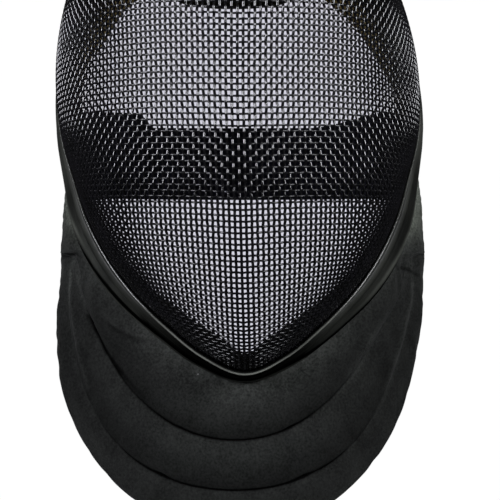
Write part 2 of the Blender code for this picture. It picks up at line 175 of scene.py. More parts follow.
def rimSweep(angle):
    target = rowValue(angle, 4)
    low, high = np.zeros(len(angle)), np.full(len(angle), math.pi / 2 + 0.9)
    for _ in range(40):
        middle = (low + high) / 2
        short = cagePoint(angle, middle)[:, 1] < target
        low, high = np.where(short, middle, low), np.where(short, high, middle)
    return low


def ringAngles(count):
    return 360 * np.arange(count) / count - 180


trim = {
    "width": 0.018, "leather": 0.0018, "slot": 0.0006, "edgeInset": 0.0025, "stations": 480, "grooveAt": 0.24,
    "stitchStations": 1440, "stitchSink": 0.00034, "stitches": (0.0022, 0.0034, 0.00045),
}
# the cord is dark, with a painted highlight along its front, brighter at the chin
piping = {"radius": 0.0011, "sides": 12, "stations": 720, "dark": 0.35, "paintedGlint": 4.5, "paintedGlintChin": 9.0}
trimFront = 2 * piping["radius"] + 2 * gap
trimInside = -wireFace["wall"] - trim["slot"] - trim["leather"]


class Rim:
    # the trim's own frame at many angles: start, width, out of its face, and out of the mesh before it
    def __init__(self, angles):
        self.angles = angles = np.asarray(angles, float)
        sweep = rimSweep(angles)
        self.start = cagePoint(angles, sweep)
        along = cagePoint(angles + 0.5, rimSweep(angles + 0.5)) - cagePoint(angles - 0.5, rimSweep(angles - 0.5))
        along = unit(along)
        outward = unit(stacked(along[:, 2], 0 * along[:, 0], -along[:, 0]))
        outward = facing(outward, self.start - (0, 0, wireFace["poleHeight"]))
        flare = rowValue(angles, 5)[:, None]
        width = outward * flare + np.array((0, 1.0, 0)) * np.sqrt(trim["width"]**2 - flare**2)
        self.width = unit(width - along * dot(width, along))
        self.out = facing(unit(np.cross(self.width, along)), outward)
        before = self.start - cagePoint(angles, sweep - 0.02)
        before = unit(before - along * dot(before, along))
        self.meshOut = facing(unit(np.cross(before, along)), self.out)

    def at(self, across, up):
        return self.start + self.width * across + self.out * up


def loftPiece(name, rings, finish, closedPath=False, closedRing=True, sharp=None):
    # one skin through rings of points, with a UV map in metres along (u) and round (v) it
    rings = np.asarray(rings, float)
    count, size = rings.shape[:2]
    rows, columns = count + closedPath, size + closedRing
    wide = rings[np.arange(rows) % count][:, np.arange(columns) % size]
    u, v = travelled(wide.mean(1)), travelled(wide)
    i, j = (part.ravel() for part in np.meshgrid(np.arange(rows - 1), np.arange(columns - 1), indexing="ij"))
    corners = [(i, j), (i, j + 1), (i + 1, j + 1), (i + 1, j)]
    faces = stacked(*((a % count) * size + b % size for a, b in corners)).tolist()
    uv = np.stack([stacked(u[a], v[a, b]) for a, b in corners], 1).reshape(-1, 2)
    if closedRing and not closedPath:
        faces.append(list(range(size))[::-1])
        faces.append(list(range((count - 1) * size, count * size)))
        uv = np.concatenate((uv, stacked(0 * v[0, :size], v[0, :size])[::-1],
                             stacked(0 * v[-1, :size] + u[-1], v[-1, :size])))
    mesh = bpy.data.meshes.new(name)
    mesh.from_pydata((rings.reshape(-1, 3) - seat).tolist(), [], faces)
    mesh.uv_layers.new(name="clothGrain").data.foreach_set("uv", uv.ravel())
    shape = bmesh.new()
    shape.from_mesh(mesh)
    bmesh.ops.recalc_face_normals(shape, faces=shape.faces)
    shape.to_mesh(mesh)
    shape.free()
    piece = newObject(name, mesh, finish)
    if sharp:
        mesh.set_sharp_from_angle(angle=math.radians(sharp))
    return piece


def linePiece(name, points, edges):
    mesh = bpy.data.meshes.new(name)
    mesh.from_pydata((points - seat).tolist(), edges.tolist(), [])
    return newObject(name, mesh)


def dress(piece, replaced=None):
    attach(piece, "root")
    if replaced:
        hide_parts(replaced)


def setAttribute(mesh, name, kind, values):
    layer = mesh.attributes.new(name, kind, "POINT")
    layer.data.foreach_set("vector" if kind == "FLOAT_VECTOR" else "value", np.asarray(values, float).ravel())


def setShade(mesh, shares):
    setAttribute(mesh, "shade", "FLOAT_VECTOR", np.repeat(np.ravel(shares), 3))


def nodeGroup(name, kind, inputs, outputs):
    # an empty group: inputs by name, type and value, outputs by name and type
    group = bpy.data.node_groups.new(name, kind)
    for label, socketType, value in inputs:
        socket = group.interface.new_socket(label, in_out="INPUT", socket_type="NodeSocket" + socketType)
        if value is not None:
            socket.default_value = value
    for label, socketType in outputs:
        group.interface.new_socket(label, in_out="OUTPUT", socket_type="NodeSocket" + socketType)
    return group, group.nodes.new("NodeGroupInput").outputs, group.nodes.new("NodeGroupOutput").inputs


def addNode(tree, kind, links=None, **settings):
    # links: input name or number -> a socket to link, or a plain value
    node = tree.nodes.new(kind)
    for key, value in settings.items():
        setattr(node, key, value)
    for key, value in (links or {}).items():
        if isinstance(value, bpy.types.NodeSocket):
            tree.links.new(value, node.inputs[key])
        else:
            node.inputs[key].default_value = value
    return node


def calc(tree, operation, a, b=0.0):
    return addNode(tree, "ShaderNodeMath", {0: a, 1: b}, operation=operation).outputs[0]


def times(tree, a, b):
    return calc(tree, "MULTIPLY", a, b)


def plus(tree, a, b):
    return calc(tree, "ADD", a, b)


def finishedMesh(piece, modifier):
    # the piece's result as its plain mesh, without the modifier
    graph = bpy.context.evaluated_depsgraph_get()
    made = bpy.data.meshes.new_from_object(piece.evaluated_get(graph), preserve_all_data_layers=True, depsgraph=graph)
    made.name = piece.name
    piece.modifiers.remove(modifier)
    piece.data = made


def runNodes(piece, group, values):
    # sets the inputs by their identifiers
    modifier = piece.modifiers.new(group.name, "NODES")
    modifier.node_group = group
    for item in group.interface.items_tree:
        if item.item_type == "SOCKET" and item.in_out == "INPUT" and item.name in values:
            modifier[item.identifier] = values[item.name]
    bpy.context.view_layer.update()
    finishedMesh(piece, modifier)
    return piece


# shader groups that several finishes share
def makeWeaveGroup():
    # a plain weave: over and under threads in the piece's own cloth coordinates
    group, given, result = nodeGroup(
        "plainWeave", "ShaderNodeTree",
        [("Cloth", "Vector", None), ("Threads Across", "Float", 1200.0), ("Threads Along", "Float", 1200.0),
         ("Slack", "Float", 0.35)], [("Height", "Float"), ("Gap", "Float")])
    wobble = addNode(group, "ShaderNodeTexNoise", {"Vector": given["Cloth"], "Scale": 220.0, "Detail": 1.0})
    parts = addNode(group, "ShaderNodeSeparateXYZ", {0: given["Cloth"]}).outputs
    slack = times(group, wobble.outputs["Fac"], given["Slack"])
    waves = []
    for part, label in ((parts[0], "Threads Across"), (parts[1], "Threads Along")):
        place = plus(group, times(group, part, given[label]), slack)
        waves.append(calc(group, "SINE", times(group, place, math.pi)))
    over = calc(group, "GREATER_THAN", times(group, *waves), 0.0)
    across, along = [calc(group, "ABSOLUTE", wave) for wave in waves]
    height = addNode(group, "ShaderNodeMix", {0: over, 2: across, 3: along})
    group.links.new(height.outputs[0], result["Height"])
    group.links.new(calc(group, "LESS_THAN", times(group, across, along), 0.12), result["Gap"])
    return group


def makeWearGroup():
    # cloudy change of tone at two sizes, and rare small specks such as lint or dust
    group, given, result = nodeGroup(
        "toneAndSpecks", "ShaderNodeTree",
        [("Place", "Vector", None), ("Cloud Scale", "Float", 45.0), ("Fine Scale", "Float", 420.0),
         ("Speck Scale", "Float", 60.0), ("Speck Size", "Float", 0.03)],
        [("Cloud", "Float"), ("Fine", "Float"), ("Specks", "Float")])
    place = given["Place"]
    for label, detail in (("Cloud", 3.0), ("Fine", 2.0)):
        noise = addNode(group, "ShaderNodeTexNoise",
                        {"Vector": place, "Scale": given[label + " Scale"], "Detail": detail})
        group.links.new(noise.outputs["Fac"], result[label])
    specks = addNode(group, "ShaderNodeTexVoronoi", {"Vector": place, "Scale": given["Speck Scale"]}).outputs
    near = calc(group, "LESS_THAN", specks["Distance"], given["Speck Size"])
    rare = addNode(group, "ShaderNodeSeparateColor", {0: specks["Color"]}).outputs[0]
    group.links.new(times(group, near, calc(group, "GREATER_THAN", rare, 0.72)), result["Specks"])
    return group


weaveGroup = makeWeaveGroup()
wearGroup = makeWearGroup()


def newFinish(name, plain):
    made = bpy.data.materials.new(name)
    made.use_nodes = True
    inputs = made.node_tree.nodes["Principled BSDF"].inputs
    for label, value in plain.items():
        inputs[label].default_value = value
    return made, made.node_tree, inputs


def wornFinish(name, plain, scales):
    # a finish with the shared wear in it: its cloud, fine and speck scales, and the size of its specks
    made, tree, inputs = newFinish(name, plain)
    place = addNode(tree, "ShaderNodeTexCoord").outputs["Object"]
    labels = ("Cloud Scale", "Fine Scale", "Speck Scale", "Speck Size")
    wear = addNode(tree, "ShaderNodeGroup", {}, node_tree=wearGroup)
    tree.links.new(place, wear.inputs["Place"])
    for label, value in zip(labels, scales):
        wear.inputs[label].default_value = value
    return made, tree, inputs, place, wear.outputs


def closeFinish(tree, inputs, tone, height, depth, strength, shaded):
    # shaded names the glosses that darken, with the tone, where the piece's own shade attribute of painted light and
    # shade says so
    if shaded:
        shade = addNode(tree, "ShaderNodeAttribute", attribute_name="shade").outputs["Vector"]
        share = calc(tree, "MINIMUM", addNode(tree, "ShaderNodeSeparateXYZ", {0: shade}).outputs[0], 1.0)
        for label in shaded:
            tree.links.new(times(tree, share, inputs[label].default_value), inputs[label])
        tone = addNode(tree, "ShaderNodeVectorMath", {0: tone, 1: shade}, operation="MULTIPLY").outputs[0]
    tree.links.new(tone, inputs["Base Color"])
    bump = addNode(tree, "ShaderNodeBump", {"Height": height, "Distance": depth, "Strength": strength})
    tree.links.new(bump.outputs[0], inputs["Normal"])


def mixTone(tree, factor, dark, light):
    ends = [tone if isinstance(tone, bpy.types.NodeSocket) else (*tone, 1) for tone in (dark, light)]
    return addNode(tree, "ShaderNodeMix", {0: factor, 6: ends[0], 7: ends[1]}, data_type="RGBA").outputs[2]


def remap(tree, value, low, high, fromLow=0.0, fromHigh=1.0, **settings):
    links = {0: value, 1: fromLow, 2: fromHigh, 3: low, 4: high}
    return addNode(tree, "ShaderNodeMapRange", links, **settings).outputs[0]


def clothFinish(name, tones, roughness, threads, weaveDepth, clouds, specks=0.0, ribs=None, sheen=None,
                shaded=False, contrast=0.4, mottle=520.0):
    # woven cloth: tones are dark, light and lint; threads and ribs per metre; sheen is its tint
    plain = {"Roughness": roughness, "Specular IOR Level": 0.12}
    if sheen:
        plain.update({"Sheen Weight": 0.05, "Sheen Roughness": 0.5, "Sheen Tint": (*sheen, 1)})
    made, tree, inputs, place, wear = wornFinish(name, plain, (clouds, mottle, 48.0, specks))
    cloth = addNode(tree, "ShaderNodeUVMap", uv_map="clothGrain").outputs[0]
    weave = addNode(tree, "ShaderNodeGroup", node_tree=weaveGroup)
    tree.links.new(cloth, weave.inputs["Cloth"])
    for label in ("Threads Across", "Threads Along"):
        weave.inputs[label].default_value = threads
    blend = plus(tree, times(tree, wear["Cloud"], 1 - contrast), times(tree, wear["Fine"], contrast))
    tone = mixTone(tree, remap(tree, blend, 0.0, 1.0, 0.35, 0.65), tones[0], tones[1])
    tone = mixTone(tree, times(tree, weave.outputs["Gap"], 0.5), tone, [c * 0.35 for c in tones[0]])
    tone = mixTone(tree, wear["Specks"], tone, tones[2])
    height = weave.outputs["Height"]
    if ribs:
        up = addNode(tree, "ShaderNodeSeparateXYZ", {0: cloth}).outputs[1]
        rib = calc(tree, "ABSOLUTE", calc(tree, "SINE", times(tree, up, math.pi * ribs)))
        height = plus(tree, times(tree, rib, 1.6), height)
    height = plus(tree, height, times(tree, wear["Fine"], 1.2))
    closeFinish(tree, inputs, tone, height, weaveDepth, 0.8, shaded and ("Specular IOR Level", "Sheen Weight"))
    return made


def hardFinish(name, tones, roughness, shine=0.5, metallic=0.0, shaded=False):
    # metal with small runs in its coat and rubbed places, or shaded, coated leather with a fine pebble grain
    scales = (38.0, 260.0, 70.0, 0.025) if shaded else (70.0, 900.0, 150.0, 0.05)
    plain = {"Roughness": roughness[0], "Metallic": metallic, "Specular IOR Level": shine}
    made, tree, inputs, place, wear = wornFinish(name, plain, scales)
    spread = (0.32, 0.68) if shaded else (0.35, 0.65)
    tone = mixTone(tree, remap(tree, wear["Cloud"], 0.0, 1.0, *spread), *tones)
    tree.links.new(remap(tree, wear["Fine"], *roughness, 0.3, 0.7), inputs["Roughness"])
    height, depth, strength = wear["Fine"], 0.00008, 0.5
    if shaded:
        pebble = addNode(tree, "ShaderNodeTexVoronoi", {"Vector": place, "Scale": 900.0}, feature="SMOOTH_F1")
        height = calc(tree, "SUBTRACT", times(tree, height, 0.8), pebble.outputs["Distance"])
        depth, strength = 0.00012, 0.7
    closeFinish(tree, inputs, tone, height, depth, strength, shaded and ("Specular IOR Level",))
    return made


wireTones = ((0.0022, 0.0021, 0.0026), (0.0050, 0.0048, 0.0062))
finishes = {
    "uprightWire": hardFinish("blackWire", wireTones, (0.12, 0.20), 1.0),
    "levelWire": hardFinish("dullWire", wireTones, (0.20, 0.30), 0.6),
    "trim": hardFinish("trimLeather", ((0.0132, 0.0144, 0.0120), (0.0300, 0.0322, 0.0268)), (0.48, 0.62), 0.3,
                       shaded=True),
    "piping": hardFinish("pipingLeather", ((0.012, 0.0125, 0.0110), (0.024, 0.025, 0.022)), (0.16, 0.24), 0.4,
                         shaded=True),
    "bib": clothFinish("bibCloth", ((0.0050, 0.0054, 0.0048), (0.0183, 0.0196, 0.0178), (0.06, 0.06, 0.06)), 0.92,
                       1500.0, 0.00012, 55.0, 0.020, sheen=(0.8, 0.82, 0.82), shaded=True, contrast=0.65, mottle=750.0),
    "lining": clothFinish("liningCloth", ((0.0125, 0.0127, 0.0066), (0.0250, 0.0252, 0.0132), (0.05, 0.05, 0.045)),
                          0.92, 1100.0, 0.00020, 60.0, sheen=(0.75, 0.75, 0.7), shaded=True),
    "strap": clothFinish("strapWebbing", ((0.0055, 0.0054, 0.0125), (0.0110, 0.0105, 0.0220), (0.05, 0.05, 0.06)),
                         0.80, 700.0, 0.00030, 60.0, ribs=330.0, sheen=(0.7, 0.7, 0.8)),
    "steel": hardFinish("springSteel", ((0.030, 0.030, 0.032), (0.070, 0.070, 0.072)), (0.28, 0.45), metallic=0.9),
    "thread": clothFinish("sewingThread", ((0.0045, 0.0045, 0.0045), (0.010, 0.010, 0.010), (0.03, 0.03, 0.03)), 0.8,
                          4000.0, 0.00005, 200.0),
}
print("finishes made")

# the woven wire: every crossing is one pitch from its neighbours, as in a net pressed over the form
weave = {
    "pitch": 0.0031, "uprightThick": 0.00150, "levelThick": 0.00124, "uprightCrimp": 0.00034, "levelCrimp": 0.00022,
    "sides": 6, "knuckle": 0.24, "tails": (0.0022, 0.0065),
    "levelRow": 0.079, "levelRise": 0.0021, "riseReach": 0.060, "ridgeTurn": 0.080, "across": 75, "along": 90,
}


def offFace(p):
    # below 0 inside the wire face and above 0 outside it, as a pure number
    x, z = p[..., 0] - sway(p[..., 2]), p[..., 2]
    drop = wireFace["poleHeight"] - z
    reach = np.hypot(x, drop)
    angle = np.degrees(np.arctan2(np.abs(x), drop))
    radius, depth, roundness = (rowValue(angle, column) for column in (1, 2, 3))
    y = p[..., 1] - ridgeDepth(x, z) - depth
    length = np.where(y < 0, depth, wireFace["rearReach"])
    return (reach / radius) ** roundness + (np.abs(y) / length) ** roundness - 1


def faceSlope(p, step=2e-5):
    return stacked(*((offFace(p + d) - offFace(p - d)) / (2 * step) for d in np.eye(3) * step))


def onFace(p):
    return offFace(p), faceSlope(p)


def away(centre, length):
    return lambda p: (((p - centre) ** 2).sum(-1) - length**2, 2 * (p - centre))


def onLevel(p, step=1e-5):
    # the level row, which dips a little towards the ridge
    def rise(x):
        out = (np.hypot(x, 0.003) - 0.003) / weave["riseReach"]
        return weave["levelRise"] * np.sin(np.minimum(out, 1) * math.pi / 2)

    x = p[..., 0] - sway(weave["levelRow"])
    slope = -(rise(x + step) - rise(x - step)) / (2 * step)
    return p[..., 2] - weave["levelRow"] - rise(x), stacked(slope, 0 * slope, 0 * slope + 1)


def onRidge(p, step=1e-5):
    z, top = p[..., 2], weave["ridgeTurn"]
    slope = -(sway(np.minimum(z + step, top)) - sway(np.minimum(z - step, top))) / (2 * step)
    return p[..., 0] - sway(np.minimum(z, top)), stacked(0 * slope + 1, 0 * slope, slope)


def solvePoints(guess, rules, rounds=12):
    # Newton's method on three rules at once, for many points
    p = guess.copy()
    for _ in range(rounds):
        values, slopes = zip(*(rule(p) for rule in rules))
        a = np.stack(slopes, -2) + np.eye(3) * 1e-12
        move = np.linalg.solve(a, stacked(*values)[..., None])[..., 0]
        size = np.linalg.norm(move, axis=-1, keepdims=True)
        p = p - move * np.minimum(1, 0.002 / np.maximum(size, 1e-12))
    return p


def firstWire(start, heading, rule, count):
    points, heading, pitch = [start], np.array(heading, float), weave["pitch"]
    for _ in range(count):
        guess = points[-1] + heading * pitch
        points.append(solvePoints(guess[None], (onFace, away(points[-1][None], pitch), rule))[0])
        heading = (points[-1] - points[-2]) / pitch
    return np.array(points)


def weaveNet():
    # the middle wire follows the ridge and one row stays level; the rest follows from them
    pitch, across, along = weave["pitch"], weave["across"], weave["along"]
    start = np.array((sway(weave["levelRow"]), 0.0, weave["levelRow"]))
    start = solvePoints(start[None], (onFace, onRidge, onLevel))[0]
    net = np.full((2 * across + 1, 2 * along + 1, 3), np.nan)
    for way in (1, -1):
        net[across::way, along] = firstWire(start, (way, 0, 0), onLevel, across)
        net[across, along::way] = firstWire(start, (0, 0, way), onRidge, along)
    for sideX, sideZ in ((1, 1), (1, -1), (-1, 1), (-1, -1)):
        for total in range(2, across + along + 1):
            i = np.arange(max(1, total - along), min(across, total - 1) + 1)
            j = total - i
            a = net[across + sideX * (i - 1), along + sideZ * j]
            b = net[across + sideX * i, along + sideZ * (j - 1)]
            c = net[across + sideX * (i - 1), along + sideZ * (j - 1)]
            good = np.isfinite(a + b + c).all(1) & (np.abs(a[:, 2] - wireFace["poleHeight"]) < 0.19)
            if not good.any():
                continue
            a, b, c = a[good], b[good], c[good]
            p = solvePoints(a + b - c, (onFace, away(a, pitch), away(b, pitch)), rounds=8)
            miss = np.abs(np.linalg.norm(p - a, axis=1) - pitch) + np.abs(np.linalg.norm(p - b, axis=1) - pitch)
            bad = (miss > 2e-6) | (np.linalg.norm(p - c, axis=1) < 0.15 * pitch)
            p[bad | ~np.isfinite(p).all(1) | (p[:, 1] > 0.24)] = np.nan
            net[across + sideX * i[good], along + sideZ * j[good]] = p
    return net


def rimGap(p):
    # how far a point is before the trim's front edge, and its angle round the face
    x, drop = p[..., 0] - sway(p[..., 2]), wireFace["poleHeight"] - p[..., 2]
    angle = np.degrees(np.arctan2(x, drop))
    return rowValue(angle, 4) - p[..., 1], angle


def wirePaths(net, faceOut, overs):
    # the runs of one family of wires inside the trim, each row of net one wire
    before = rimGap(net)[0]
    inside = np.isfinite(net).all(-1) & (before > 0)
    paths = []
    for wire in range(net.shape[0]):
        stops = np.flatnonzero(np.diff(np.concatenate(([0], inside[wire].astype(int), [0]))))
        for first, last in zip(stops[::2], stops[1::2] - 1):
            if last - first < 2:
                continue
            # two points by each crossing, and one at the first and the last
            knots = [(k, side) for k in range(first, last + 1) for side in (-1, 1)][1:-1]
            at, side = np.array(knots).T
            points = net[wire, at] + (net[wire, at + side] - net[wire, at]) * weave["knuckle"]
            paths.append([points, faceOut[wire, at], overs[wire, at].astype(float), wire, first, last])
    return paths, before


def addTails(paths, net, before):
    # each cut end goes on to the rim line and under the trim
    cuts = []
    for points, outs, crimps, wire, first, last in paths:
        for k, outside in ((first, first - 1), (last, last + 1)):
            cut = net[wire, k]
            if 0 <= outside < net.shape[1] and np.isfinite(net[wire, outside]).all():
                cut = cut + (net[wire, outside] - cut) * before[wire, k] / (before[wire, k] - before[wire, outside])
            cuts.append(cut)
    rim = Rim(rimGap(np.array(cuts))[1])
    half = 0.5 * wireFace["wall"]
    near, far = (rim.at(across, -half) for across in weave["tails"])
    for n, cut in enumerate(cuts):
        path, turned = paths[n // 2], -1 if n % 2 == 0 else 1
        tail = np.array((cut - path[1][0 if turned < 0 else -1] * half, near[n], far[n]))
        tails = (tail, np.repeat(rim.out[n][None], 3, 0), np.zeros(3))
        for k, more in enumerate(tails):
            path[k] = np.concatenate((more[::-1], path[k]) if turned < 0 else (path[k], more))


def makeWireGroup():
    # pushes the crimps out and in, then gives each line its round wire
    group, given, result = nodeGroup(
        "crimpedWire", "GeometryNodeTree",
        [("Lines", "Geometry", None), ("Wire Thickness", "Float", 0.001), ("Crimp Height", "Float", 0.0005),
         ("Wire Sides", "Int", 6), ("Finish", "Material", None)], [("Wires", "Geometry")])
    faceOut = addNode(group, "GeometryNodeInputNamedAttribute", {"Name": "faceOut"}, data_type="FLOAT_VECTOR")
    crimp = addNode(group, "GeometryNodeInputNamedAttribute", {"Name": "crimp"}, data_type="FLOAT")
    height = times(group, crimp.outputs["Attribute"], given["Crimp Height"])
    push = addNode(group, "ShaderNodeVectorMath", {0: faceOut.outputs["Attribute"], "Scale": height}, operation="SCALE")
    moved = addNode(group, "GeometryNodeSetPosition", {"Geometry": given["Lines"], "Offset": push.outputs[0]})
    curves = addNode(group, "GeometryNodeMeshToCurve", {"Mesh": moved.outputs[0]})
    radius = times(group, given["Wire Thickness"], 0.5)
    ring = addNode(group, "GeometryNodeCurvePrimitiveCircle", {"Resolution": given["Wire Sides"], "Radius": radius})
    tube = addNode(group, "GeometryNodeCurveToMesh",
                   {"Curve": curves.outputs[0], "Profile Curve": ring.outputs[0], "Fill Caps": True})
    group.links.new(finishNodes(group, tube.outputs[0], given["Finish"]), result["Wires"])
    return group


def finishNodes(group, geometry, finish):
    real = addNode(group, "GeometryNodeRealizeInstances", {"Geometry": geometry})
    smooth = addNode(group, "GeometryNodeSetShadeSmooth", {"Geometry": real.outputs[0]})
    return addNode(group, "GeometryNodeSetMaterial", {"Geometry": smooth.outputs[0], "Material": finish}).outputs[0]


def wirePiece(name, paths):
    # one mesh of separate lines, carrying the crimp and the way out of the face
    counts = [len(path[0]) for path in paths]
    starts = np.concatenate(([0], np.cumsum(counts)[:-1]))
    edges = np.concatenate([stacked(np.arange(n - 1), np.arange(1, n)) + s for n, s in zip(counts, starts)])
    points, outs, crimps = (np.concatenate([path[k] for path in paths]) for k in (0, 1, 2))
    piece = linePiece(name, points, edges)
    setAttribute(piece.data, "faceOut", "FLOAT_VECTOR", outs)
    setAttribute(piece.data, "crimp", "FLOAT", crimps)
    return piece


def buildWires():
    net = weaveNet()
    faceOut = unit(faceSlope(np.nan_to_num(net, nan=0.05)))
    i, j = np.meshgrid(np.arange(net.shape[0]), np.arange(net.shape[1]), indexing="ij")
    overs = np.where((i + j) % 2 == 0, 1, -1)
    group = makeWireGroup()
    for family, order, flip in (("upright", (0, 1, 2), 1), ("level", (1, 0, 2), -1)):
        lines = net.transpose(order)
        paths, before = wirePaths(lines, faceOut.transpose(order), overs.transpose(order[:2]) * flip)
        for path in paths:
            path[0] -= path[1] * 0.5 * wireFace["wall"]
        addTails(paths, lines, before)
        sizes = np.cumsum([len(path[0]) for path in paths])
        half = int(np.searchsorted(sizes, sizes[-1] / 2))
        for part, some in (("a", paths[:half]), ("b", paths[half:])):
            piece = wirePiece(f"wires_{family}_{part}", some)
            runNodes(piece, group, {"Wire Thickness": weave[family + "Thick"], "Crimp Height": weave[family + "Crimp"],
                                    "Wire Sides": weave["sides"], "Finish": finishes[family + "Wire"]})
            dress(piece, "mesh_cage")
            print(piece.name, "woven:", len(piece.data.polygons))


buildWires()

# relief of the trim: share of its face from the front, height in millimetres
trimRelief = [
    (0.00, -0.95), (0.02, -0.60), (0.06, -0.28), (0.12, -0.04), (0.20, 0.08), (0.30, 0.02), (0.38, -0.10),
    (trim["grooveAt"] - 0.045, -0.16), (trim["grooveAt"], -0.48), (trim["grooveAt"] + 0.045, -0.16), (0.60, -0.04),
    (0.66, 0.04), (0.72, 0.11), (0.78, 0.15), (0.84, 0.12), (0.90, 0.04), (0.945, -0.04), (0.99, -0.24)]


# the trim: a folded leather strip over the edge of the mesh, with a sewn groove
def trimProfile():
    outer, inner = trim["slot"], trimInside + trim["leather"]
    wide, edge = trim["width"] - trimFront, trim["width"] - trim["edgeInset"] + gap
    relief = [(trimFront + wide * share, up / 1000) for share, up in trimRelief]
    face = [(across, outer + trim["leather"] + up) for across, up in relief]
    back = [(across, trimInside - up) for across, up in relief[::-1]]
    turn = [(0.0005, outer + 0.0008), (0.00056, outer - 0.0004), (0.00056, inner + 0.0004), (0.0005, inner - 0.0008)]
    turn = [(trim["width"] + across, up) for across, up in turn]
    return face + turn + back + [(trimFront, inner), (edge, inner), (edge, outer), (trimFront, outer)]


def softWave(angles, seeds, strength):
    # a slow unevenness round the rim, the same on every run
    turn = np.radians(angles)
    return strength * sum(np.sin(n * turn + p) / n**0.5 for n, p in seeds) / len(seeds)


# painted light and shade of the trim round the face, as a share of its own tone: lit on the sides that face the soft
# boxes, near black at the chin, which faces down
trimPaintedLight = np.array([
    # angle, front strip, middle, outer ridge, place of the ridge, start and end of the painted shadow beside it
    (-180, 1.3, 1.1, 1.3, 0.80, 1.20, 1.30),
    (-95, 1.4, 1.1, 1.4, 0.85, 1.20, 1.30),
    (-84, 1.4, 0.9, 2.2, 0.90, 1.20, 1.30),
    (-72, 1.4, 0.5, 2.3, 0.97, 1.20, 1.30),
    (-60, 1.5, 0.6, 2.2, 0.79, 1.00, 1.10),
    (-52, 1.5, 0.7, 2.0, 0.68, 0.81, 0.96),
    (-42, 1.2, 0.65, 1.1, 0.60, 0.70, 0.88),
    (-30, 0.6, 0.5, 0.55, 0.55, 0.68, 0.90),
    (-22, 0.28, 0.25, 0.3, 0.47, 0.58, 0.82),
    (-14, 0.06, 0.04, 0.04, 0.50, 0.60, 0.80),
    (6, 0.05, 0.04, 0.04, 0.50, 0.52, 0.72),
    (12, 0.14, 0.1, 0.1, 0.50, 0.60, 0.80),
    (20, 0.5, 0.45, 0.45, 0.65, 0.78, 1.02),
    (30, 1.0, 0.5, 0.8, 0.74, 0.83, 1.07),
    (36, 1.05, 0.45, 1.1, 0.76, 0.87, 1.02),
    (42, 1.15, 0.5, 1.9, 0.78, 0.90, 1.03),
    (48, 1.1, 0.45, 2.0, 0.82, 0.93, 1.10),
    (55, 1.1, 0.37, 2.6, 0.91, 1.05, 1.15),
    (62, 1.0, 0.32, 3.0, 0.97, 1.20, 1.30),
    (74, 1.1, 0.3, 2.8, 1.00, 1.20, 1.30),
    (82, 1.1, 0.6, 2.2, 0.95, 1.20, 1.30),
    (92, 1.3, 1.1, 1.3, 0.85, 1.20, 1.30),
    (180, 1.3, 1.1, 1.3, 0.80, 1.20, 1.30),
])


def tableAt(angles, table, columns):
    return [np.interp(angles, table[:, 0], table[:, k]) for k in columns]


def paintTrimLight(angles, place, outer):
    # painted light and shade: a lit front strip, a darker middle with the groove, a lit outer ridge and a painted
    # shadow next to the bib
    front, middle, ridge, ridgeAt, darkFrom, darkTo = (
        column[:, None] for column in tableAt(angles, trimPaintedLight, range(1, 7)))
    strip = front * (0.4 + 0.6 * eased(place, 0.04, 0.24))
    tone = strip * (1 - eased(place, 0.26, 0.42)) + middle * eased(place, 0.26, 0.42)
    tone = tone + (ridge - middle) * np.exp(-((place - ridgeAt) / 0.085) ** 2)
    # dark is the painted shadow strip on the trim's outer edge beside the bib
    past = eased(place, darkTo - 0.03, darkTo + 0.03)
    dark = eased(place, darkFrom - 0.03, darkFrom + 0.03) * (1 - past)
    return np.where(outer, tone * (1 - 0.97 * dark) + past * 0.5, front * 0.8)


def makeStitchGroup():
    # short rounded stitches at even steps along a line, lying flat on the surface
    group, given, result = nodeGroup(
        "stitchRow", "GeometryNodeTree",
        [("Line", "Geometry", None), ("Stitch Length", "Float", 0.0022), ("Stitch Every", "Float", 0.0034),
         ("Thread Thickness", "Float", 0.0004), ("Unevenness", "Float", 0.06), ("Seed", "Int", 7),
         ("Finish", "Material", None)], [("Stitches", "Geometry")])
    curve = addNode(group, "GeometryNodeMeshToCurve", {"Mesh": given["Line"]})
    dots = addNode(group, "GeometryNodeCurveToPoints",
                   {"Curve": curve.outputs[0], "Length": given["Stitch Every"]}, mode="LENGTH")
    ball = addNode(group, "GeometryNodeMeshIcoSphere", {"Radius": 0.5, "Subdivisions": 2})
    thick = given["Thread Thickness"]
    size = addNode(group, "ShaderNodeCombineXYZ", {0: thick, 1: thick, 2: given["Stitch Length"]})
    shaped = addNode(group, "GeometryNodeTransform", {"Geometry": ball.outputs["Mesh"], "Scale": size.outputs[0]})
    tilt = addNode(group, "FunctionNodeRandomValue", {2: times(group, given["Unevenness"], -1.0),
                                                      3: given["Unevenness"], "Seed": given["Seed"]}, data_type="FLOAT")
    turn = addNode(group, "ShaderNodeCombineXYZ", {0: tilt.outputs[1]})
    rotation = addNode(group, "FunctionNodeRotateEuler",
                       {"Rotation": dots.outputs["Rotation"], "Rotate By": turn.outputs[0]}, space="LOCAL")
    placed = addNode(group, "GeometryNodeInstanceOnPoints",
                     {"Points": dots.outputs["Points"], "Instance": shaped.outputs[0], "Rotation": rotation.outputs[0]})
    group.links.new(finishNodes(group, placed.outputs[0], given["Finish"]), result["Stitches"])
    return group


stitchGroup = makeStitchGroup()


def stitchRun(name, points, sizes):
    # a closed row; sizes are a stitch's length, the step between stitches, and the thread's thickness
    place = np.arange(len(points))
    piece = linePiece(name, points, stacked(place, (place + 1) % len(points)))
    values = dict(zip(("Stitch Length", "Stitch Every", "Thread Thickness"), sizes))
    runNodes(piece, stitchGroup, {**values, "Unevenness": 0.06, "Seed": 7, "Finish": finishes["thread"]})
    dress(piece)


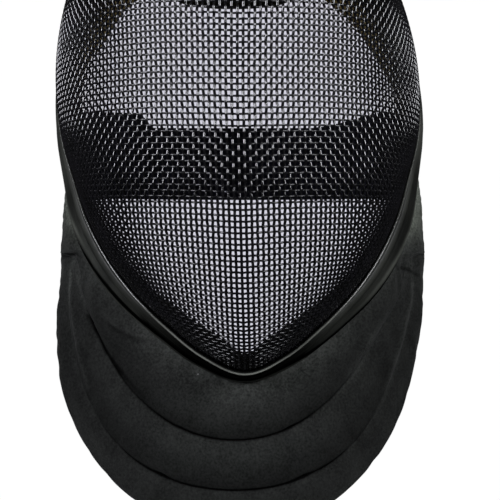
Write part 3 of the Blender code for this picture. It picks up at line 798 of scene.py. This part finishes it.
def buildTrim():
    rim = Rim(ringAngles(trim["stations"]))
    uneven = softWave(rim.angles, ((5, 0.4), (9, 2.1), (14, 4.0), (23, 1.3), (37, 5.1)), 0.00016)
    rings = [rim.at(across, (up + uneven * (up > 0))[:, None]) for across, up in trimProfile()]
    piece = loftPiece("trim", np.stack(rings, 1), finishes["trim"], closedPath=True, sharp=60)
    profile = np.array(trimProfile())
    # the trim's painted light and shade, with the painted shadow at its outer edge next to the bib
    setShade(piece.data, paintTrimLight(rim.angles, profile[:, 0] / trim["width"], profile[:, 1] > -wireFace["wall"]))
    dress(piece, "trim_band")
    groove = trimFront + (trim["width"] - trimFront) * trim["grooveAt"]
    fine = Rim(ringAngles(trim["stitchStations"]))
    for name, up in (("trim_stitches_outer", trim["slot"] + trim["leather"] - trim["stitchSink"]),
                     ("trim_stitches_inner", trimInside + trim["stitchSink"])):
        stitchRun(name, fine.at(groove, up), trim["stitches"])
    print("trim folded and sewn")


def buildPiping():
    # a leather-covered cord in the corner between the mesh and the front edge of the trim, with a painted highlight
    # along its front
    rim = Rim(ringAngles(piping["stations"]))
    lean = unit(rim.out + rim.meshOut)
    centre = rim.start + lean * (piping["radius"] + 1.6 * gap) / np.maximum(dot(lean, rim.out), 0.5)
    ahead = unit(np.roll(centre, -1, 0) - np.roll(centre, 1, 0))
    side = unit(np.cross(ahead, lean))
    top = unit(np.cross(side, ahead))
    turn = (2 * math.pi * np.arange(piping["sides"]) / piping["sides"])[None, :, None]
    around = np.cos(turn) * side[:, None] + np.sin(turn) * top[:, None]
    radius = piping["radius"] * (1 + softWave(rim.angles, ((31, 0.3), (53, 1.9), (87, 4.4), (140, 0.9)), 0.10))
    piece = loftPiece("piping", centre[:, None] + radius[:, None, None] * around, finishes["piping"], closedPath=True)
    # a pale stripe on the sides that face front: a painted highlight, stronger at the chin
    faced = dot(around, unit(np.array((0, -0.85, 0)) + 0.5 * lean)[:, None])[..., 0]
    paintedGlint = piping["paintedGlint"] + (piping["paintedGlintChin"] - piping["paintedGlint"]) * (1 - eased(np.abs(rim.angles), 10, 34))
    setShade(piece.data, piping["dark"] + (paintedGlint[:, None] - piping["dark"]) * eased(faced, 0.80, 0.97))
    dress(piece, "trim_piping")
    print("piping laid")


buildTrim()
buildPiping()


def puffCloth(piece, pinned, values, frames=20):
    # blows the cloth out between its sewn edges, never further than the cap, then smooths it once
    mesh, scene = piece.data, bpy.context.scene
    start, ended = np.empty((2, len(mesh.vertices), 3))
    mesh.vertices.foreach_get("co", start.ravel())
    pins = piece.vertex_groups.new(name="sewn")
    for level in np.unique(pinned[pinned > 0]):
        pins.add(np.flatnonzero(pinned == level).tolist(), float(level), "REPLACE")
    cloth = piece.modifiers.new("puff", "CLOTH")
    settings = {"vertex_group_mass": "sewn", "use_pressure": True, "uniform_pressure_force": values["pressure"],
                "shrink_min": -values["growth"], "tension_stiffness": 12, "compression_stiffness": 12,
                "bending_stiffness": 0.4, "quality": 6}
    for key, value in settings.items():
        setattr(cloth.settings, key, value)
    cloth.settings.effector_weights.gravity = 0
    cloth.collision_settings.use_collision = False
    cloth.point_cache.frame_start, cloth.point_cache.frame_end = 1, frames
    for number in range(1, frames + 1):
        scene.frame_set(number)
    done = piece.evaluated_get(bpy.context.evaluated_depsgraph_get())
    done.data.vertices.foreach_get("co", ended.ravel())
    move = ended - start
    far = np.linalg.norm(move, axis=1, keepdims=True)
    move *= np.minimum(1, values["cap"] / np.maximum(far, 1e-9))
    piece.modifiers.remove(cloth)
    piece.vertex_groups.remove(pins)
    mesh.vertices.foreach_set("co", (start + move).ravel())
    mesh.update()
    scene.frame_set(1)
    print(piece.name, "puffed, largest move in mm:", round(float(far.max()) * 1000, 2))
    smoothing = piece.modifiers.new("soft", "SUBSURF")
    smoothing.levels = smoothing.render_levels = 1
    finishedMesh(piece, smoothing)


# the bib: three padded tiers between the trim and its free edge, sewn to each other in two curved seams
bib = {
    "frontDepth": 0.081, "bulge": 0.004, "flapFrom": 60, "flapTo": 95, "flapWidth": 0.014, "wrap": 5.2,
    "flapSweep": 0.25, "lean": 0.0044, "leanFull": 0.45, "leanSpan": 0.085,
    "seamHalf": 0.0010, "puffHalf": 0.0036, "frontPuff": 1.4, "puffPower": 0.6, "fullWidth": 0.018,
    "across": 0.0026, "inside": -0.0040, "top": 104, "gatherFrom": 87.4, "gather": 89.6, "least": 0.003,
    "gatherPlaces": (51.0, 56.0), "gatherStations": 23, "overlap": 0.0003, "tuck": 0.003,
    "stations": 261, "steps": {"bib_upper": 19, "bib_middle": 13, "bib_lower": 13},
    # the last tint is the colour of the painted light on the flaps
    "pressure": 2.5, "growth": 0.02, "cap": 0.0024, "paintedLightTint": (1.0, 1.02, 0.94),
}
bibRows = np.array([  # angle, seam A, seam B, free edge, all by reach from the mouth
    (0, 0.1078, 0.1362, 0.1600),
    (15, 0.1063, 0.1354, 0.1580),
    (30, 0.1020, 0.1314, 0.1505),
    (45, 0.0975, 0.1220, 0.1390),
    (60, 0.0950, 0.1118, 0.1252),
    (75, 0.0968, 0.1055, 0.1142),
    (83, 0.0976, 0.1018, 0.1108),
    (90, 0.0998, 0.1004, 0.1102),
    (100, 0.1110, 0.1110, 0.1112),
    (115, 0.1195, 0.1195, 0.1197),
    (130, 0.1400, 0.1400, 0.1402),
])
# soft folds of the bib: width and height in millimetres, change of tone (painted light on the lit ridges and painted
# shade in the hollows), and points in x and z along each fold
bibFolds = [
    (1.5, -1.2, 0.30, [(-111, -3.7), (-104, -3.3), (-97, -1.7)]),
    (1.1, 0.9, 1.9, [(-103.5, -5.6), (-103.8, -14.0), (-104.0, -24.8), (-103.2, -31.1), (-101.1, -43.7),
                     (-98.8, -54.8), (-96.0, -65.5), (-91.3, -81.8)]),
    (0.8, 0.5, 1.5, [(-101.4, -6.5), (-99.4, -14.2), (-96.6, -26.1), (-92.3, -37.1)]),
    (1.0, -0.8, 0.35, [(-92.3, -38.0), (-91.5, -40.2), (-85.6, -48.9), (-81.2, -57.5), (-75.1, -65.9),
                       (-68.2, -73.9), (-56.8, -85.9)]),
    (1.3, -1.1, 0.45, [(-80.0, -41.6), (-75.0, -46.0), (-68.3, -49.8), (-61.0, -52.2), (-50.5, -52.5)]),
    (2.6, 0.8, 1.25, [(-82.0, -36.5), (-76.0, -41.0), (-69.0, -45.2), (-60.0, -48.0)]),
    (1.4, -1.2, 0.35, [(92.7, -9.8), (99.7, -11.9), (107.0, -16.2)]),
    (1.5, 0.9, 2.1, [(102.4, -20.4), (100.0, -34.7), (97.1, -45.0), (94.1, -56.9), (90.4, -68.5), (84.6, -81.8)]),
    (2.8, 0.9, 2.1, [(80.5, -42.9), (73.7, -54.0), (67.5, -66.0), (57.2, -79.9)]),
]
# angle from the chin, millimetres of painted deep shadow beside the trim, painted light and shade in the tone of the
# cloth (the flaps lit where they face the soft boxes), share of the painted light tint
bibPaintedLight = np.array([
    (-115, 0, 6.0, 1), (-106, 0, 6.0, 1), (-101, 0, 4.2, 1), (-96, 0.3, 1.7, 1), (-90, 0.6, 1.35, 0),
    (-84, 0.2, 1.35, 0), (-77, 0, 1.1, 0), (-66, 0, 0.86, 0), (-46, 0, 0.88, 0), (-25, 0, 1, 0), (25, 0, 1, 0),
    (34, 1.0, 0.95, 0), (46, 1.5, 0.9, 0), (56, 1.8, 0.85, 0), (66, 0.8, 0.88, 0), (75, 0.6, 0.95, 0),
    (80, 1.6, 1.05, 0), (84, 2.6, 1.25, 0), (88, 1.0, 1.4, 0), (91, 0, 1.8, 0), (97, 0, 3.6, 1), (102, 0, 5.8, 1),
    (107, 0, 8.0, 1), (115, 0, 7.5, 1)])
# painted light and shade down each tier, from its upper seam to its lower one: lighter above, as if lit from above, and
# shaded towards the seam below
tierPaintedLight = {
    "bib_upper": [(0, 3.0), (0.08, 3.6), (0.2, 3.2), (0.38, 2.0), (0.62, 1.2), (0.88, 0.75), (1, 0.5)],
    "bib_middle": [(0, 1.6), (0.35, 1.35), (0.62, 0.9), (0.88, 0.7), (1, 0.5)],
    "bib_lower": [(0, 1.35), (0.35, 1.0), (1, 1.0)],
}
# painted shade and painted highlights along the two seams, dark in their grooves and lighter where their ridges catch
# the side light: angle from the chin, seam A, seam B
seamPaintedLight = np.array([
    (-180, 1, 1), (-92, 1, 1), (-88, 1.5, 1.8), (-70, 1.4, 1.7), (-66, 0.14, 1.5), (-48, 0.08, 1.0),
    (-38, 0.07, 0.3), (-30, 0.07, 0.08), (30, 0.07, 0.08), (38, 0.2, 0.3), (48, 0.8, 1.6), (62, 1.0, 1.8),
    (79, 1.2, 1.8), (88, 1.2, 1.4), (92, 1, 1), (180, 1, 1)])


def bibPoint(reach, angle, start, edgeReach):
    turn = np.radians(angle)
    x, z = reach * np.sin(turn), -reach * np.cos(turn)
    edgeX, edgeZ = edgeReach * np.sin(turn), -edgeReach * np.cos(turn)
    edgeY = bib["frontDepth"] + bib["wrap"] * edgeX**2 + bib["flapSweep"] * np.maximum(edgeZ, 0)
    flap = eased(np.abs(angle), bib["flapFrom"], bib["flapTo"])
    edgeY = np.maximum(edgeY, start[..., 1] + bib["flapWidth"] * flap)
    startReach = np.hypot(start[..., 0], start[..., 2])
    t = np.clip((reach - startReach) / np.maximum(edgeReach - startReach, 0.001), 0, 1)
    y = start[..., 1] + (edgeY - start[..., 1]) * t - bib["bulge"] * (1 - flap) * np.sin(math.pi * t)
    lean = bib["lean"] * eased(t, 0, bib["leanFull"]) * eased(-z, 0, bib["leanSpan"])
    return stacked(x - lean, y, z)


def foldPlaces(points, line):
    # how far each point is from a line in x and z, in millimetres, and how strongly the line is there
    at, line = points[..., (0, 2)] * 1000, np.array(line, float)
    best, place = np.full(len(at), 1e9), np.zeros(len(at))
    for k in range(len(line) - 1):
        a, b = line[k], line[k + 1]
        t = np.clip(((at - a) @ (b - a)) / ((b - a) @ (b - a)), 0, 1)
        far = np.linalg.norm(at - (a + t[:, None] * (b - a)), axis=-1)
        place = np.where(far < best, (k + t) / (len(line) - 1), place)
        best = np.minimum(far, best)
    return best, np.sin(math.pi * np.clip(place * 0.9 + 0.05, 0, 1)) ** 0.5


def foldCloth(piece):
    # presses the folds into the front of a finished tier and paints light and shade into each part's tone
    mesh = piece.data
    points, outs, places, seams = np.empty((4, len(mesh.vertices), 3))
    mesh.vertices.foreach_get("co", points.ravel())
    mesh.vertex_normals.foreach_get("vector", outs.ravel())
    for name, values in (("place", places), ("seams", seams)):
        mesh.attributes[name].data.foreach_get("vector", values.ravel())
        mesh.attributes.remove(mesh.attributes[name])
    fromTrim, front, down = places.T
    here = points + seat
    shade, lift = np.ones(len(points)), np.zeros(len(points))
    # the folds' lift, with painted light on their ridges and painted shade in their hollows
    for width, height, tone, line in bibFolds:
        far, strength = foldPlaces(here, line)
        near = strength * np.exp(-((far / width) ** 2))
        lift += height * 0.001 * near
        shade *= 1 + (tone - 1) * near
    angle = np.degrees(np.arctan2(here[:, 0], -here[:, 2]))
    # painted light on the flaps and a painted shadow beside the trim
    paintedShadowWidth, tone, tint = tableAt(angle, bibPaintedLight, (1, 2, 3))
    # painted light on each tier's upper part and painted shade towards its lower seam
    tier = tableAt(down, np.array(tierPaintedLight[piece.name]), (1,))[0]
    shade *= tone * (1 + (tier - 1) * (1 - 0.6 * eased(np.abs(angle), 45, 70)))
    # the painted shadow beside the trim
    shade *= 1 - 0.97 * (paintedShadowWidth > 0.2) * (1 - eased(fromTrim * 1000, paintedShadowWidth - 0.3, paintedShadowWidth + 0.8))
    # painted shade in the seam grooves and painted highlights on their lit ridges
    for far, tone in zip(seams.T, tableAt(angle, seamPaintedLight, (1, 2))):
        shade *= 1 + (tone - 1) * (1 - eased(far * 1000, 0.6, 2.0))
    mesh.vertices.foreach_set("co", (points + outs * (lift * np.clip(front, 0, 1))[:, None]).ravel())
    mesh.update()
    # the painted light tint on the lit flaps
    tinted = 1 + (np.array(bib["paintedLightTint"]) - 1) * tint[:, None]
    setAttribute(mesh, "shade", "FLOAT_VECTOR", shade[:, None] * tinted)


def pinEdges(rings, steps, level=0.0):
    # the sewn edges of a closed section whose outside has this many steps, and the outside at its own level
    pinned = np.zeros(rings.shape[:2])
    pinned[:, :steps] = level
    pinned[:, [0, steps - 1, steps, 2 * steps - 1]] = 1
    pinned[[0, -1]] = 1
    return pinned.ravel()


def bibTier(name, low, high, angle, start, edge):
    # closed leaf-shaped sections across one tier, thin at its seams and padded between them
    steps = bib["steps"][name]
    t = 0.5 - 0.5 * np.cos(math.pi * (0.08 + 0.84 * np.linspace(0, 1, steps)))
    t = (t - t[0]) / (t[-1] - t[0])
    width = high[:, None] - low[:, None]
    reach = low[:, None] + (high - low)[:, None] * t
    angles, starts, edges = angle[:, None], start[:, None], edge[:, None]
    step = 0.001
    here = bibPoint(reach, angles, starts, edges)
    across = bibPoint(reach + step, angles, starts, edges) - bibPoint(reach - step, angles, starts, edges)
    side = stacked(np.cos(np.radians(angle)), 0 * angle, np.sin(np.radians(angle)))[:, None]
    normal = unit(np.cross(np.broadcast_to(side, across.shape), across))
    normal *= -np.sign(normal[..., 1:2])
    puff = np.sin(math.pi * t)[None] ** bib["puffPower"] * np.minimum(1.0, width / bib["fullWidth"])
    half = bib["seamHalf"] + (bib["puffHalf"] - bib["seamHalf"]) * puff
    front = here + normal * (half * (1 + (bib["frontPuff"] - 1) * puff))[..., None]
    back = here - normal * half[..., None]
    rings = np.concatenate((front, back[:, ::-1]), 1)
    piece = loftPiece(name, rings, finishes["bib"])
    fromTrim = reach - np.hypot(starts[..., 0], starts[..., 2])
    fromA = t * width if name == "bib_middle" else (1 - t) * width + (name == "bib_lower")
    fromB = (1 - t) * width if name == "bib_middle" else t * width + (name == "bib_upper")
    for label, parts, behind in (("place", (fromTrim, np.minimum(1, puff * 1.6), t + 0 * width), (1, 0, 1)),
                                 ("seams", (fromA, fromB, 0 * width * t), (1, 1, 1))):
        values = stacked(*parts)
        setAttribute(piece.data, label, "FLOAT_VECTOR", np.concatenate((values, values[:, ::-1] * behind), 1))
    puffCloth(piece, pinEdges(rings, steps), bib)
    foldCloth(piece)
    dress(piece, name + "_tier")


def buildBib():
    places = np.linspace(-bib["top"], bib["top"], bib["stations"])
    fine = np.linspace(*bib["gatherPlaces"], bib["gatherStations"])
    places = np.concatenate([places[(np.abs(places) < fine[0]) | (np.abs(places) > fine[-1])], fine, -fine])
    start = Rim(np.sort(places)).at(trim["width"] + bib["across"], bib["inside"])
    angle = np.degrees(np.arctan2(start[:, 0], -start[:, 2]))
    inner = np.hypot(start[:, 0], start[:, 2])
    rows = smoothRows(bibRows, angle)
    edge = np.maximum(rows[:, 3], inner + bib["least"])
    seamA = np.clip(rows[:, 1], inner + bib["least"], edge)
    seamB = np.clip(rows[:, 2], seamA + bib["least"] / 2, edge)
    seamA = seamA + (edge - seamA) * eased(np.abs(angle), bib["gatherFrom"], bib["gather"])
    seamB = np.maximum(seamB, seamA)
    overlap = bib["overlap"]
    tuck = bib["tuck"] * eased(np.abs(angle), bib["gatherFrom"] - 2.5, bib["gather"])
    low = np.abs(angle) < bib["gather"]
    for name, near, far, kept in (("bib_upper", inner + gap, np.minimum(seamA + overlap + tuck, edge), angle < 999),
                                  ("bib_middle", seamA - overlap, seamB + overlap, low),
                                  ("bib_lower", seamB - overlap, edge, low)):
        bibTier(name, near[kept], far[kept], angle[kept], start[kept], edge[kept])
    print("bib sewn")


buildBib()

# the linings: padded strips inside the wire, along the chin and round the crown
liningRows = {  # angle, width, thickness, stand-off at the front edge
    "chin_lining": np.array([
        (0, 0.0105, 0.0055, 0.0),
        (8, 0.0180, 0.0065, 0.0),
        (16, 0.0182, 0.0068, 0.0),
        (24, 0.0155, 0.0060, 0.0),
        (30, 0.0125, 0.0052, 0.0),
        (36, 0.0090, 0.0040, 0.0),
        (43, 0.0062, 0.0027, 0.0),
        (50, 0.0048, 0.0022, 0.0),
        (62, 0.0046, 0.0022, 0.0),
    ]),
    "crown_lining": np.array([
        (56, 0.0046, 0.0022, 0.0),
        (64, 0.0060, 0.0026, 0.0),
        (76, 0.0220, 0.0050, 0.0010),
        (90, 0.044, 0.0075, 0.0030),
        (105, 0.051, 0.0090, 0.0075),
        (125, 0.062, 0.0125, 0.0210),
        (145, 0.077, 0.0140, 0.0300),
        (162, 0.069, 0.0130, 0.0240),
        (180, 0.060, 0.0115, 0.0110),
    ]),
}
lining = {"split": 59, "steps": 12, "stations": 300, "pressure": 2.5, "growth": 0.015, "cap": 0.0015,
          # the edge tint is a browner colour with painted light on the crown lining's front edge
          "paintedLitEdgeTint": (11.0, 8.2, 6.4), "edgeShare": 0.26, "outsidePin": 0.97}


def liningRings(angles, rows, t):
    width, thickness, stand = smoothRows(rows, angles)[:, 1:4].T
    sweeps = rimSweep(angles)[:, None] - 0.004 * np.arange(220)[None]
    far = travelled(cagePoint(angles[:, None], np.maximum(sweeps, 0.01)))
    sweep = np.array([np.interp(t * width[k], far[k], sweeps[k]) for k in range(len(angles))])
    angles = angles[:, None]
    here = cagePoint(angles, sweep)
    ahead = cagePoint(angles, sweep - 0.01) - cagePoint(angles, sweep + 0.01)
    side = cagePoint(angles + 0.5, sweep) - cagePoint(angles - 0.5, sweep)
    inward = -facing(unit(np.cross(ahead, side)), here - (0, 0.1, wireFace["poleHeight"]))
    swell = np.sin(math.pi * (t + 0.22) / 1.44) ** 0.5
    lift = wireFace["wall"] + 3 * gap + stand[:, None] * t**1.5
    inside = here + inward * (lift + thickness[:, None] * swell)[..., None]
    return np.concatenate((here + inward * lift[..., None], inside[:, ::-1]), 1)


def buildLinings():
    split, steps = lining["split"], lining["steps"]
    along = np.linspace(0, 1, steps)
    for name, low, high in (("chin_lining", -split, split), ("crown_lining", split, 360 - split)):
        angles = np.linspace(low - 0.15, high + 0.15, round((high - low) * lining["stations"] / 360))
        angles = np.where(angles > 180, angles - 360, angles)
        rings = liningRings(angles, liningRows[name], along)
        piece = loftPiece(name, rings, finishes["lining"])
        piece.name = name + "_pad"
        # the crown lining's front edge is tinted brown and made many times brighter: its own browner colour with
        # painted light on it
        lit = eased(np.concatenate((along, along[::-1])), 1 - lining["edgeShare"], 1)
        lit = (lit * eased(np.abs(angles)[:, None], 82, 118))[..., None] * (name == "crown_lining")
        setAttribute(piece.data, "shade", "FLOAT_VECTOR", 1 + (np.array(lining["paintedLitEdgeTint"]) - 1) * lit)
        puffCloth(piece, pinEdges(rings, steps, lining["outsidePin"]), lining)
        dress(piece, name)
    print("linings padded")


buildLinings()

# the strap and its two sewn ends, each a flat band bent round the back of the head
strap = {
    "low": 0.0322, "high": 0.0785, "tabHigh": 0.0878, "backDepth": 0.196,
    "fixed": 0.008, "leaves": 0.0165, "pull": 0.030, "slack": 0.055, "cloth": 0.0024, "tabCloth": 0.0019,
    "leftReach": 0.0575, "rightReach": 0.044, "taper": 0.052, "corner": 0.010, "rows": 15, "steps": 60,
    "tabSteps": 44, "edgeRound": 0.0006, "stitches": (0.0026, 0.0038, 0.0005),
}


def innerLeg(side, height, across):
    # where the trim's inner leg is at this height, on one side
    points = Rim(side * np.arange(55, 111, 0.5)).at(across, trimInside - 1.5 * gap)
    return stacked(*(np.interp(height, points[:, 2], points[:, axis]) for axis in range(3)))


def strapPaths(side, heights):
    # half of the run in plan at each height: off the trim's inner leg, then round to the back
    fixed, leaves = (innerLeg(side, heights, strap[key])[:, None] for key in ("fixed", "leaves"))
    back = stacked(sway(heights), 0 * heights + strap["backDepth"], heights)[:, None]
    pull = leaves + unit(leaves - fixed) * strap["pull"]
    slack = back + np.array((side * strap["slack"], 0, 0))
    t = np.linspace(0, 1, strap["steps"])[None, :, None]
    u = 1 - t
    curve = leaves * u**3 + pull * 3 * u * u * t + slack * 3 * u * t * t + back * t**3
    path = np.concatenate((fixed + (leaves - fixed) * np.linspace(0, 0.9, 6)[None, :, None], curve), 1)
    path[..., 2] = heights[:, None]
    return path


def bandNormal(rows):
    # inwards, level, at each point of the rows that run along a band
    ahead = np.gradient(rows, axis=1)
    normal = unit(stacked(-ahead[..., 1], ahead[..., 0], 0 * ahead[..., 0]))
    return -facing(normal, (rows - (0, 0.1, 0)) * (1, 1, 0))


def bandPiece(name, rows, thickness, inward=0.0):
    # a flat band with rounded edges; its inner face keeps off by inward
    normal = bandNormal(rows)
    bulk = np.ones(len(rows))
    bulk[[0, -1]], bulk[[1, -2]] = 0.45, 0.92
    middle = inward + thickness / 2
    outer = rows + normal * (middle - bulk * thickness / 2)[:, None, None]
    inner = rows + normal * (middle + bulk * thickness / 2)[:, None, None]
    piece = loftPiece(name, np.concatenate((outer, inner[::-1]), 0).transpose(1, 0, 2), finishes["strap"], sharp=50)
    return piece, float(travelled(rows[len(rows) // 2])[-1])


def bandHeights(low, high):
    edge = strap["edgeRound"]
    inner = low + edge + (high - low - 2 * edge) * np.linspace(0, 1, strap["rows"] - 2)
    return np.concatenate(([low], inner, [high]))


def buildStrap():
    low, high, tabHigh, count = strap["low"], strap["high"], strap["tabHigh"], strap["rows"]
    heights = bandHeights(low, high)
    left, right = strapPaths(-1, heights), strapPaths(1, heights)
    band, length = bandPiece("strap_band", np.concatenate((left, right[:, -2::-1]), 1), strap["cloth"])
    dress(band, "back_strap")
    print("strap length in mm:", round(length * 1000, 1))
    inward = strap["cloth"] + 2 * gap
    heights = bandHeights(low, tabHigh)
    share = (heights - low) / (tabHigh - low)
    for name, side, reach, taper in (("strap_tab_left", -1, strap["leftReach"], 0.0),
                                     ("strap_tab_right", 1, strap["rightReach"], strap["taper"])):
        corner = strap["corner"] * np.clip(share, 0, 1) ** 9 * (0.3 if taper else 1)
        paths = strapPaths(side, heights)
        if taper:
            rise = (tabHigh - high) * share
            levels = heights[:, None] - rise[:, None] * (1 - eased(np.abs(paths[..., 0]), reach, reach + taper))
            every = strapPaths(side, levels.ravel())
            pick = np.tile(np.arange(paths.shape[1]), count)
            paths = every[np.arange(len(every)), pick].reshape(paths.shape)
        kept = []
        for row, extra in zip(paths, corner):
            along = travelled(row)
            at = np.linspace(0, np.interp(-(reach + extra), -np.abs(row[:, 0]), along), strap["tabSteps"])
            kept.append(stacked(*(np.interp(at, along, row[:, axis]) for axis in range(3))))
        kept = np.array(kept)
        tab, length = bandPiece(name + "_band", kept, strap["tabCloth"], inward)
        dress(tab, name)
        sewBox(name, kept, inward + strap["tabCloth"])
    print("strap and its ends made")


def sewBox(name, rows, inward):
    # a sewn rectangle that holds the end to the strap, on its inner face
    face = rows + bandNormal(rows) * (inward + 0.0001)
    low, high, near, far = 2, len(rows) - 3, rows.shape[1] - 14, rows.shape[1] - 3
    outline = ([(low, k) for k in range(near, far)] + [(k, far) for k in range(low, high)]
               + [(high, k) for k in range(far, near, -1)] + [(k, near) for k in range(high, low, -1)])
    stitchRun(name + "_stitches", np.array([face[a, b] for a, b in outline]), strap["stitches"])


buildStrap()

# the tongue: a bent steel strip at the back of the crown, with a pad on its end
tongue = {
    "width": 0.026, "steel": 0.0015, "arch": 0.0008, "fixed": 0.004, "bend": 0.012, "edgeRound": 0.0004,
    "padHalfWidth": 0.044, "padHalfHeight": 0.021, "padHalfThick": 0.0065, "padRoundness": 2.6,
    "padDepth": 0.185, "padHeight": 0.1715, "padLean": 24, "padSteps": 26, "padAround": 72,
    "pressure": 2.0, "growth": 0.01, "cap": 0.0012,
}


def buildTongue():
    rim = Rim([180.0])
    lean, steel = math.radians(tongue["padLean"]), tongue["steel"]
    centre = np.array((float(sway(tongue["padHeight"])), tongue["padDepth"], tongue["padHeight"]))
    down = np.array((0, -math.sin(lean), -math.cos(lean)))
    face = np.array((0, math.cos(lean), -math.sin(lean)))
    padBack = centre + face * (tongue["padHalfThick"] + gap + steel)
    legFace = trimInside - 1.5 * gap - tongue["arch"]
    start, leaves = rim.at(tongue["fixed"], legFace)[0], rim.at(trim["width"], legFace)[0]
    bend = leaves + unit(leaves - start) * tongue["bend"]
    top = padBack - down * tongue["padHalfHeight"] * 0.7
    t = np.linspace(0, 1, 31)[1:, None]
    curve = (leaves * (1 - t) + bend * t) * (1 - t) + (bend * (1 - t) + top * t) * t
    path = np.concatenate(([start, start * 0.5 + leaves * 0.5, leaves], curve,
                           [padBack + down * tongue["padHalfHeight"] * 0.3]))
    ahead = np.gradient(path, axis=0)
    thick = unit(stacked(0 * ahead[:, 0], ahead[:, 2], -ahead[:, 1])) * steel
    half = tongue["width"] / 2
    flat = half - tongue["edgeRound"]
    section = [(-flat, 0), (flat, 0), (half, 0.25), (half, 0.75), (flat, 1), (-flat, 1), (-half, 0.75), (-half, 0.25)]
    rings = np.stack([path + np.array((x, 0, 0)) + thick * up for x, up in section], 1)
    dress(loftPiece("tongue_strip", rings, finishes["steel"], sharp=35), "tongue_spring")

    across, power = tongue["padSteps"], tongue["padRoundness"]
    turn = 2 * math.pi * np.arange(tongue["padAround"]) / tongue["padAround"]
    square = (np.abs(np.cos(turn)) ** power + np.abs(np.sin(turn)) ** power) ** (-1 / power)
    lift = np.sin(np.linspace(-1, 1, across + 2)[1:-1] * math.pi / 2)[:, None, None]
    size = np.sqrt(1 - lift**2)
    rings = (centre + size * (square * np.cos(turn))[:, None] * np.array((tongue["padHalfWidth"], 0, 0))
             + size * (square * np.sin(turn))[:, None] * down * tongue["padHalfHeight"]
             + lift * face * tongue["padHalfThick"])
    pad = loftPiece("tongue_cushion", rings, finishes["lining"])
    setShade(pad.data, np.ones(len(pad.data.vertices)))
    pinned = np.zeros(rings.shape[:2])
    pinned[across // 2 - 1:across // 2 + 1] = 1
    pinned[[0, -1]] = 0.95
    puffCloth(pad, pinned.ravel(), tongue)
    dress(pad, "tongue_pad")
    print("tongue bent and padded")


buildTongue()

# a plain pale floor, a pale glowing wall behind, and soft boxes on both sides
studio = {
    "shadowPlace": (-0.0115, -0.03), "shadowHalf": (0.240, 0.36), "shadowRoundness": 6.0, "shadowSoftness": 0.12,
    "shadowTone": 0.66, "shadowTint": (1.0, 0.99, 1.12), "paper": (0.55, 0.55, 0.55), "wallGlow": 1.0,
    "airLight": 0.022, "floorLook": 0.35, "floorLevel": -0.80, "wallStart": 0.45, "bend": 0.8, "wallTop": 2.6,
    "halfWidth": 3.0, "frontReach": -2.5, "aim": (0, 0, -0.17),
}
softBoxes = {  # place, width and height, power, tint
    "leftBox": ((-1.35, -1.00, 0.38), (0.70, 0.60), 26.5, (0.97, 0.97, 1.05)),
    "rightBox": ((1.35, -1.00, 0.38), (0.70, 0.60), 23.5, (0.97, 0.98, 1.03)),
}


def shadeWall(tree, inputs):
    # a painted soft shadow of the mask: the glowing wall is dimmer and tinted in a rounded patch behind it
    place = addNode(tree, "ShaderNodeSeparateXYZ", {0: addNode(tree, "ShaderNodeTexCoord").outputs["Object"]}).outputs
    power, parts = studio["shadowRoundness"], []
    for axis, middle, half in zip((0, 2), studio["shadowPlace"], studio["shadowHalf"]):
        out = calc(tree, "ABSOLUTE", calc(tree, "DIVIDE", calc(tree, "SUBTRACT", place[axis], middle), half))
        parts.append(calc(tree, "POWER", out, power))
    far = calc(tree, "POWER", plus(tree, *parts), 1 / power)
    tone = remap(tree, far, studio["shadowTone"], studio["wallGlow"], 1 - studio["shadowSoftness"], 1.0,
                 interpolation_type="SMOOTHSTEP")
    tree.links.new(tone, inputs["Emission Strength"])
    share = remap(tree, tone, 0.0, 1.0, studio["wallGlow"], studio["shadowTone"])
    tree.links.new(mixTone(tree, share, (1, 1, 1), studio["shadowTint"]), inputs["Emission Color"])


def seenByCamera(tree):
    return addNode(tree, "ShaderNodeLightPath").outputs["Is Camera Ray"]


def buildStudio():
    low, start, bend, wide = studio["floorLevel"], studio["wallStart"], studio["bend"], studio["halfWidth"]
    turns = np.radians(np.linspace(0, 90, 19))
    floorLine = [(studio["frontReach"], low), (start, low)]
    wallLine = [(start + bend * math.sin(t), low + bend - bend * math.cos(t)) for t in turns]
    wallLine.append((start + bend, studio["wallTop"]))
    for name, line, glow in (("studio_floor", floorLine, 0.0), ("studio_wall", wallLine, studio["wallGlow"])):
        made, tree, inputs = newFinish(name + "_paper", {
            "Roughness": 0.9, "Base Color": (0, 0, 0, 1) if glow else (*studio["paper"], 1),
            "Emission Color": (1, 1, 1, 1), "Emission Strength": glow})
        if glow:
            shadeWall(tree, inputs)
        else:
            # the floor stays pale to the camera where the boxes do not reach it
            tree.links.new(times(tree, seenByCamera(tree), studio["floorLook"]), inputs["Emission Strength"])
        rings = np.array([[(x, y, z) for y, z in line] for x in (-wide, wide)]) + seat
        paper = loftPiece(name, rings, made, closedRing=False)
        paper.visible_glossy = False
    scene = bpy.context.scene
    scene.world = world = bpy.data.worlds.new("studioAir")
    world.use_nodes = True
    tree = world.node_tree
    air = tree.nodes["Background"]
    air.inputs[0].default_value = (1, 1, 1, 1)
    tree.links.new(remap(tree, seenByCamera(tree), studio["airLight"], 1.0), air.inputs[1])
    for name, (place, size, power, tint) in softBoxes.items():
        data = bpy.data.lights.new(name, "AREA")
        data.shape = "RECTANGLE"
        data.size, data.size_y = size
        data.energy, data.color = power, tint
        lamp = newObject(name, data)
        lamp.location = place
        lamp.rotation_euler = (Vector(studio["aim"]) - Vector(place)).to_track_quat("-Z", "Y").to_euler()
        lamp.visible_camera = False
    scene.view_settings.view_transform = "Standard"
    print("studio lit")


buildStudio()
